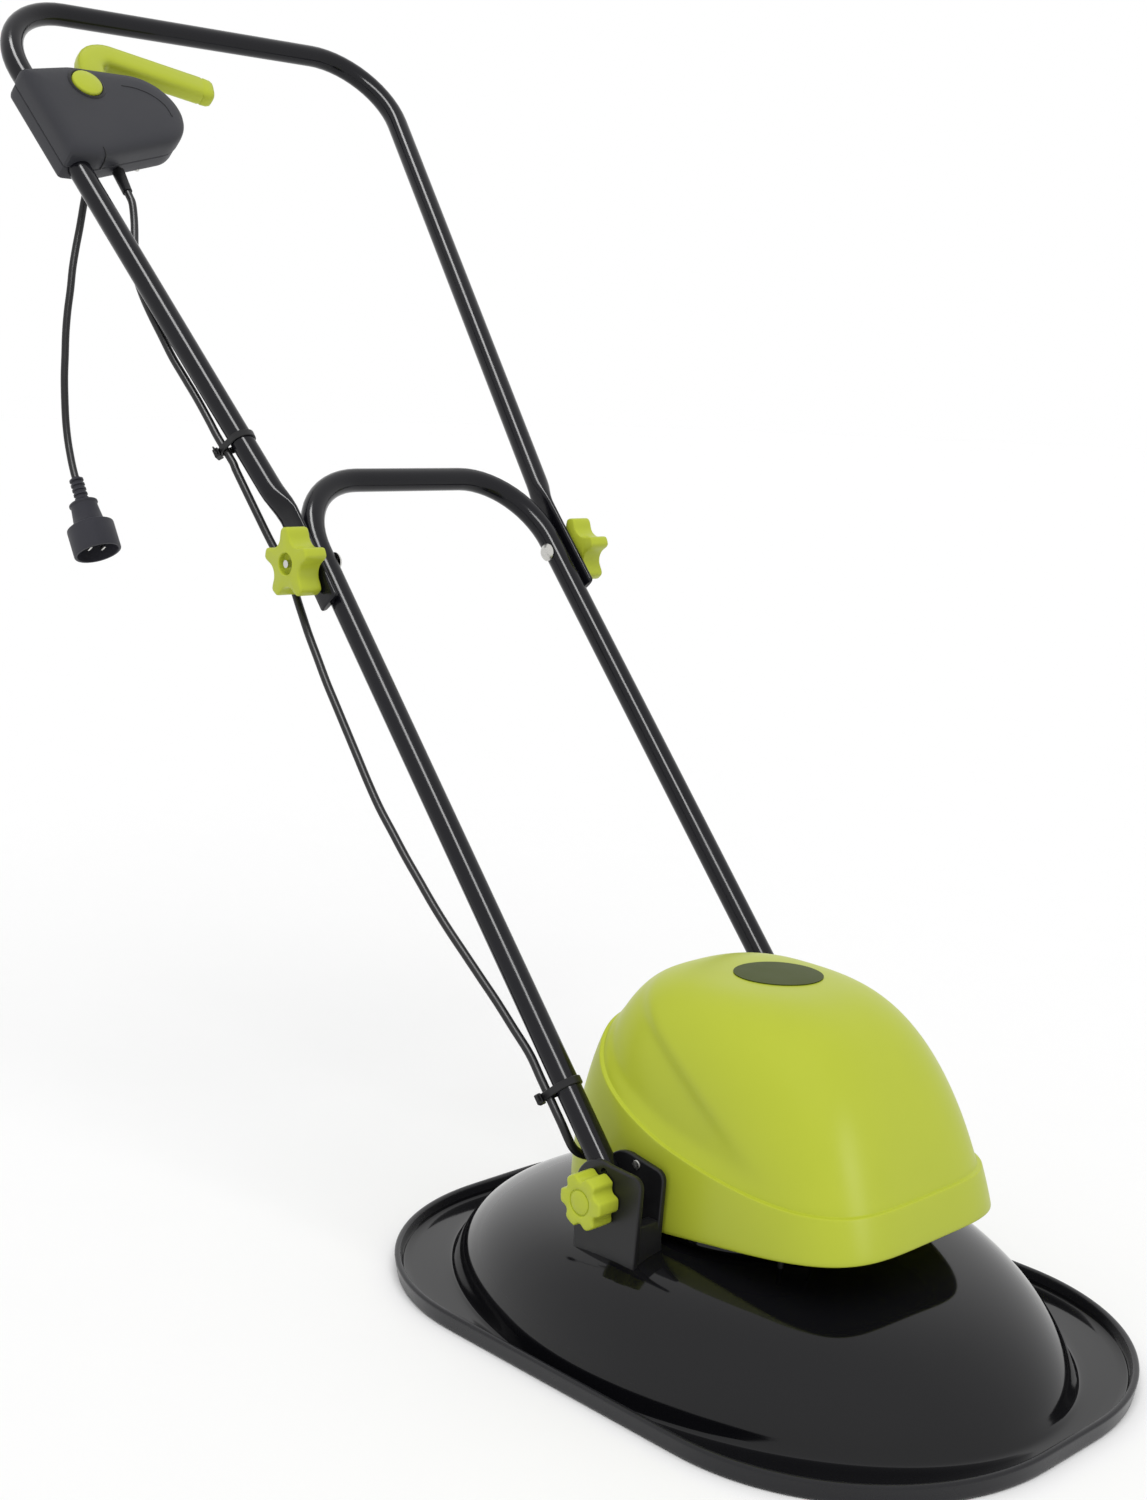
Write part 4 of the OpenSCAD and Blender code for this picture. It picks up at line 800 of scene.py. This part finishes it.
def tie(name, z, tube_y, cord, body, node):
    """A cable tie round the tube and the cord, at a height on the handle."""
    tube_at, cord_at = Vector((0, tube_y)), Vector(cord)
    mid = (tube_at + cord_at) / 2
    rounds = [(at.x + r * c, at.y + r * s) for at, r in ((tube_at, TUBE_R), (cord_at, CORD_D / 2))
              for c, s in circle(64)]
    edges = hull_edges(rounds, mid)
    band = [[handle(*q, z + up) for q in drawn_in(edges, mid, -out, 96)] for out, up in BAND_PROFILE]
    away = (cord_at - tube_at).normalized()
    side = Vector((-away.y, away.x))
    seat = cord_at + away * (CORD_D / 2 + 1.2)
    parts = [draw_out(name, band, closed=True, angle=40)]
    ends = (("head", HEAD_OUTLINE, HEAD_HIGH, 0.8), ("cut_tail", TAIL_OUTLINE, TAIL_HIGH, 0.4))
    for part, outline, high, bevel in ends:
        corners = [handle(*(seat + away * out + side * over), z - high / 2) for out, over in outline]
        parts.append(slab(part, corners, handle(0, 0, high) - handle(0, 0, 0), bevel))
    return settle(join(name, parts), cord_black, body, "frame_plastic", node)


LOWER_TIE, UPPER_TIE = 80, 646
upper_leg_y = -UPPER_Y - (UPPER_TIE - UPPER_START) * math.tan(FLARE)
tie("tie_lower", LOWER_TIE, -LOWER_Y, (-12, -131), "lower_handle", "lower_clip")
tie("tie_upper", UPPER_TIE, upper_leg_y, (-12, -156.2), "upper_handle", "upper_clip")

# %% [markdown]
# ## Knobs
# A star knob clamps each folding joint and a smaller lobed knob each lower pivot. A knob's outline is a
# circle with round bites taken out of it. The outline is extruded with a narrow step at each end for the
# rounded edge, and then inward and down for the dished face.

# %% Knob outlines
def bitten(radius, bites, place, bite_r, count=160):
    """Radius of the knob at each angle, softened where bite and arm meet."""
    radii = []
    for i in range(count):
        step = 2 * math.pi / bites
        off = (2 * math.pi * i / count + step / 2) % step - step / 2
        inside = bite_r ** 2 - (place * math.sin(off)) ** 2
        radii.append(min(radius, place * math.cos(off) - math.sqrt(inside)) if inside > 0 else radius)
    for _ in range(3):
        radii = [(radii[i - 1] + 2 * radii[i] + radii[(i + 1) % count]) / 4 for i in range(count)]
    return radii


def knob(name, radii, thick, face, place, edge=2.0):
    """Loops from a knob's back round its edge into the face. place turns [u, v, out] into millimetres."""
    ways = circle(len(radii))

    def lobed(inset, out):
        return [place((r - inset) * c, (r - inset) * s, out) for r, (c, s) in zip(radii, ways)]

    loops = [lobed(edge, 0), lobed(edge * 0.3, edge * 0.3), lobed(0, edge)]
    loops += [lobed(0, thick - edge), lobed(edge * 0.13, thick - edge * 0.5)]
    loops += [lobed(edge * 0.5, thick - edge * 0.13), lobed(edge, thick)]
    loops += [[place(r * c, r * s, out) for c, s in ways] for r, out in face]
    return draw_out(name, loops, angle=40)


# %% Star knobs at the folding joint
STAR_T, STAR_Y, STAR_Z = 20, 139.3, 528
star_radii = bitten(radius=28, bites=5, place=30.6, bite_r=13)
star_face = [(10.2, 19.9), (9.2, 20.2), (8.5, 19.6), (8.5, 15.4), (8.1, 15), (3.3, 15)]
star_left = knob("star_left", star_radii, STAR_T, star_face,
                 lambda u, v, w: handle(v, STAR_Y + w, STAR_Z + u))
star_right = mirrored(star_left, "star_right")
settle(star_left, lime, "star_knob_left", "lime", "star_knob_left")
settle(star_right, lime, "star_knob_right", "lime", "star_knob_right")

# %% Lobed knobs at the lower pivot
LOBE_T, LOBE_Y, LOBE_EDGE = 19, 137.7, 1.8
lobe_radii = bitten(radius=19.5, bites=6, place=20.7, bite_r=5.2)
lobe_face = [(10.0, 19.1), (9.6, 18.9), (9.4, 18.2), (8.9, 18.0), (8.4, 18.2), (8.2, 18.8), (7.8, 19.0),
             (3.0, 19.2)]
pivot_left = knob("pivot_left", lobe_radii, LOBE_T, lobe_face,
                  lambda u, v, w: PIVOT + Vector((v, LOBE_Y + w, u)), LOBE_EDGE)
pivot_right = mirrored(pivot_left, "pivot_right")
settle(pivot_left, lime, "pivot_knob_left", "lime", "pivot_knob_left")
settle(pivot_right, lime, "pivot_knob_right", "lime", "pivot_knob_right")

# %% [markdown]
# ## Switch box
# Two grey halves close round the tube. From above a half is the hull of three round corners and of the
# barrel on the tube. Each half is a pile of its outlines that draw in as they rise, so that its edges come
# out soft.

# %% Outline of the box
BOX_MID = Vector((-150.0, 966.0))
CORNERS = [((-160, 988), 36), ((-107, 985), 39), ((-156, 951), 21)]
BARREL_AT, BARREL_HALF = Vector((-190.55, 968.0)), 44
BARREL_HALF_W, BARREL_EDGE = 12.5, 2
outer_points = [(y + r * c, z + r * s) for (y, z), r in CORNERS for c, s in circle(48)]
for along in (-BARREL_HALF, BARREL_HALF):
    end = BARREL_AT + Vector((-along * math.tan(FLARE), along))
    outer_points += [(end.x + over + BARREL_EDGE * c, end.y + BARREL_EDGE * s)
                     for over in (-BARREL_HALF_W, BARREL_HALF_W) for c, s in circle(16)]
box_edges = hull_edges(outer_points, BOX_MID)


def box_outline(inset, count=168):
    """The box's outline from above, drawn in by an inset."""
    return drawn_in(box_edges, BOX_MID, inset, count)


def box_half(name, profile):
    """One half of the box, from its [inset, height] profile."""
    piece = draw_out(name, [[handle(x, *p) for p in box_outline(inset)] for inset, x in profile])
    modify(piece, "SMOOTH", factor=0.4, iterations=3)
    return soften(piece, 50)


print("edges of the box's hull:", len(box_edges))

# %% Switch box halves
TOP = [(2.5, 0.45), (0.5, 0.45), (0, 0.9), (0, 5), (0, 10), (0.3, 12.6), (0.9, 14.8), (2.0, 16.6), (4.0, 18),
       (7, 19), (11, 19.5), (16, 19.8), (25, 19.95), (32, 20)]
BOTTOM = [(2.8, -0.45), (1.2, -0.45), (0.8, -0.9), (0.8, -5), (0.8, -11), (1.2, -12.8), (2.2, -13.8),
          (4, -14), (14, -14), (24, -14)]
box_top = settle(box_half("box_top", TOP), box_grey, "upper_handle", "box_grey", "switch_box_top")
box_bottom = settle(box_half("box_bottom", BOTTOM), box_grey, "upper_handle", "box_grey", "switch_box_bottom")
print("box faces:", len(box_top.data.polygons), len(box_bottom.data.polygons))

# %% Seam of the box, a band of painted shade
# The dark band in the gap between the two halves is painted shade: it stands for the shadow inside the seam.
SEAM_INSET, SEAM_HALF = 1.6, 0.8
seam_loops = [[handle(x, *p) for p in box_outline(SEAM_INSET)] for x in (-SEAM_HALF, SEAM_HALF)]
settle(draw_out("box_seam_shade", seam_loops, angle=40), cord_black, "upper_handle", "box_grey")


# %% Arc line and slit of the box
def on_top(y, z):
    """A point on the box's upper face."""
    inset = min(h - n.dot(Vector((y, z)) - BOX_MID) for n, h in box_edges)
    below = max(q for q in TOP[2:] if q[0] <= inset)
    above = min([q for q in TOP[2:] if q[0] > inset] or [TOP[-1]])
    share = (inset - below[0]) / max(above[0] - below[0], 1e-6)
    return handle(below[1] + (above[1] - below[1]) * min(share, 1), y, z)


ARC = [(-121.5, 1005), (-108, 1004), (-95, 998.5), (-86, 988.5), (-83.5, 976)]
SLIT = Vector((-165.5, 926))
arc_run = smooth_route([on_top(*q) for q in ARC])
settle(round_sweep("box_arc", arc_run, 0.45, 8), cord_black, "upper_handle", "box_grey")
slit_run = []
for inset, x in TOP[2:10]:
    near = min(box_outline(inset, 480), key=lambda q: (q - SLIT).length)
    slit_run.append(handle(x, *near))
settle(round_sweep("box_slit", slit_run, lambda k: 1.0 - 0.08 * k, 8), cord_black, "upper_handle", "box_grey")

# %% [markdown]
# ## Lever and button
# The lever is an L of lime plastic with rounded edges. Its path has a round elbow, its section is a soft
# rectangle, and the section shrinks over the last few millimetres for the rounded tip. The lock button is a
# low disc in a dark ring.

# %% Switch lever
LEVER = [(-140.55, 985.0), (-125.55, 1062.0), (-22.55, 1035.0)]
ELBOW_R = 20
TIP_STEPS = [(-1, 1.0), (1, 0.94), (2, 1.0), (8, 0.97), (10.5, 0.88), (11.6, 0.75), (12, 0.55)]


def elbow_path(a, b, c, radius, count=10):
    """Points along two straight arms with a round elbow between them."""
    a, b, c = Vector(a), Vector(b), Vector(c)
    p, q = (a - b).normalized(), (c - b).normalized()
    reach = radius / math.tan(p.angle(q) / 2)
    start, end = b + p * reach, b + q * reach
    centre = b + (p + q).normalized() * (radius / math.sin(p.angle(q) / 2))
    run = [a, a.lerp(start, 0.3), a.lerp(start, 0.7)]
    for k in range(count + 1):
        t = start.lerp(end, k / count) - centre
        run.append(centre + t.normalized() * radius)
    return run + [end.lerp(c, 0.3), end.lerp(c, 0.6)]


lever_run = elbow_path(*LEVER, ELBOW_R)
ahead = (Vector(LEVER[2]) - Vector(LEVER[1])).normalized()
grows = [1.0] * len(lever_run)
for further, grow in TIP_STEPS:
    lever_run.append(Vector(LEVER[2]) + ahead * further)
    grows.append(grow)
lever_loops = []
for k, p in enumerate(lever_run):
    d = (lever_run[min(k + 1, len(lever_run) - 1)] - lever_run[max(k - 1, 0)]).normalized()
    lever_loops.append([handle(u * grows[k], p.x + w * grows[k] * d.y, p.y - w * grows[k] * d.x)
                        for w, u in flat_oval(half_y=12, half_x=8.5, power=3.4, count=40)])
lever = draw_out("lever", lever_loops, angle=50)
settle(lever, lime, "lever", "lime", "switch_lever")

# %% Lock button and its ring
BUTTON = (-156.0, 1001.0)
BUTTON_PROFILE = [(13.1, 14), (13.2, 21.4), (12.8, 22.2), (12.0, 22.7), (6, 23.2), (2, 23.3)]
RING_PROFILE = [(16.6, 14), (16.6, 19.6), (16.0, 20.8), (14.4, 21.0), (13.7, 20.4), (13.5, 14)]


def disc_loops(profile, centre, count=64):
    """Circles on the box from a [radius, height] profile."""
    y, z = centre
    return [[handle(x, y + r * c, z + r * s) for c, s in circle(count)] for r, x in profile]


button = draw_out("button", disc_loops(BUTTON_PROFILE, BUTTON))
settle(button, lime, "button", "lime", "lock_button")
collar = draw_out("button_ring", disc_loops(RING_PROFILE, BUTTON), closed=True, angle=60)
settle(collar, cord_black, "upper_handle", "box_grey")

# %% [markdown]
# ## Plug
# The plug is dark rubber: a ribbed strain relief, a lipped neck and a round shroud about two flat blades.
# It is a turned shape, so its loops are circles along the plug's axis, and the last ones go down into the
# shroud.

# %% Plug body
PLUG = Vector((-636, -182, 572))
PLUG_LEAN = math.radians(30)
RIBS, RIB_PITCH, RIB_START, RIB_TAPER = 5, 4.4, -2, 0.15


def on_plug(x, y, z):
    """A point of the plug's frame, whose z runs back along its cord."""
    c, s = math.cos(PLUG_LEAN), math.sin(PLUG_LEAN)
    return PLUG + Vector((x * c - z * s, y, x * s + z * c))


plug_profile = [(3.4, 0), (4.2, -0.4)]
for k in range(RIBS):
    z = RIB_START - RIB_PITCH * k
    wider = RIB_TAPER * k
    plug_profile += [(4.5 + wider, z + 1.0), (5.9, z + 0.4), (6.0, z - 1.2), (4.6 + wider, z - 1.8)]
plug_profile += [(5.2, -23), (11.4, -23.4), (12.1, -23.9), (12.2, -25.2), (11.4, -26.2), (11.2, -27)]
plug_profile += [(12.2, -36), (13.0, -42.5), (14.0, -44), (18.6, -45), (19.8, -45.8), (20, -47), (20, -69)]
plug_profile += [(19.7, -69.7), (19, -70), (18, -70), (17.6, -69.6), (17.5, -68), (17.5, -51), (17, -50.2)]
plug_profile += [(16, -50), (4, -50)]
plug_loops = [[on_plug(r * c, r * s, z) for c, s in circle(48)] for r, z in plug_profile]
plug_body = draw_out("plug", plug_loops, angle=40)
settle(plug_body, rubber, "upper_handle", "cord_black", "plug_body")

# %% [markdown]
# ## Stage and light
# The floor is plain and pale, and the background is white. The world could light everything alone, but then
# nothing would have a bright side, so it gives about half of the light. A broad soft sun gives the rest,
# and is left out of reflections so that no disc shows in the gloss. Two more lamps draw highlights and
# nothing else: a long strip hangs where the slanting tubes mirror the camera, and a panel stands where the
# cover's front corner does. Rays that meet the world straight, or off a glossy piece, find it white.

# %% Floor and world
fresh()
bpy.ops.mesh.primitive_plane_add(size=60, location=(0, 0, -0.0006))
ground = bpy.context.object
ground.name = "floor"
pale = finish("floor_pale", (0.955, 0.955, 0.955), (0.965, 0.965, 0.965), (0.8, 0.9), 60, 0.0, ior=1.1)
dress(ground, pale)
WORLD_LEVEL = 0.55
world = bpy.data.worlds.new("studio")
world.use_nodes = True
sky = world.node_tree
plain = sky.nodes["Background"]
plain.inputs["Color"].default_value = (1, 1, 1, 1)
plain.inputs["Strength"].default_value = WORLD_LEVEL
seen = add(sky, "ShaderNodeBackground")
seen.inputs["Color"].default_value = (1, 1, 1, 1)
seen.inputs["Strength"].default_value = 1.0
path = add(sky, "ShaderNodeLightPath")
either = add(sky, "ShaderNodeMath", operation="MAXIMUM")
any_of = add(sky, "ShaderNodeMath", operation="MAXIMUM")
choice = add(sky, "ShaderNodeMixShader")
sky.links.new(path.outputs["Is Camera Ray"], either.inputs[0])
sky.links.new(path.outputs["Is Glossy Ray"], either.inputs[1])
sky.links.new(either.outputs["Value"], any_of.inputs[0])
sky.links.new(path.outputs["Is Transmission Ray"], any_of.inputs[1])
sky.links.new(any_of.outputs["Value"], choice.inputs["Fac"])
sky.links.new(plain.outputs["Background"], choice.inputs[1])
sky.links.new(seen.outputs["Background"], choice.inputs[2])
sky.links.new(choice.outputs["Shader"], sky.nodes["World Output"].inputs["Surface"])
scene.world = world


# %% Lamps
def aim(light, place, target):
    """Hang a lamp at a place, turned to a target."""
    holder = bpy.data.objects.new(light.name, light)
    scene.collection.objects.link(holder)
    holder.location = place
    holder.rotation_mode = "QUATERNION"
    holder.rotation_quaternion = (Vector(target) - Vector(place)).to_track_quat("-Z", "Y")
    return holder


def strip(name, pieces, place, target, along, size, power):
    """A lamp that draws highlights on the given pieces alone. It leaves their colour as it is."""
    lit = bpy.data.collections.new("lit_by_" + name)
    for piece in pieces:
        lit.objects.link(piece)
    light = bpy.data.lights.new(name, "AREA")
    light.shape = "RECTANGLE"
    light.size, light.size_y = size
    light.energy = power
    holder = aim(light, place, target)
    back = (Vector(place) - Vector(target)).normalized()
    across = Vector(along).cross(back).normalized()
    holder.rotation_quaternion = Matrix((across, back.cross(across), back)).transposed().to_quaternion()
    holder.visible_diffuse = False
    holder.light_linking.receiver_collection = lit


sun = bpy.data.lights.new("soft_sun", "SUN")
sun.energy = 1.75
sun.angle = math.radians(50)
aim(sun, (1.0, -0.9, 2.6), (0, 0, 0)).visible_glossy = False
tubes_and_cords = (lower_tube, upper_tube, tail_cord, upper_cord, middle_cord, lower_cord)
strip("tube_strip", tubes_and_cords, place=(0.42, -0.98, 2.52), target=(-0.3, 0, 0.5),
      along=(-0.775, 0.213, 0.595), size=(0.6, 3.4), power=125)
strip("cover_front", (cover_skin,), place=(1.85, 0.10, 0.72), target=(0.1, 0, 0.16), along=(0, 0, 1),
      size=(0.7, 0.9), power=8)
scene.view_settings.view_transform = "Standard"
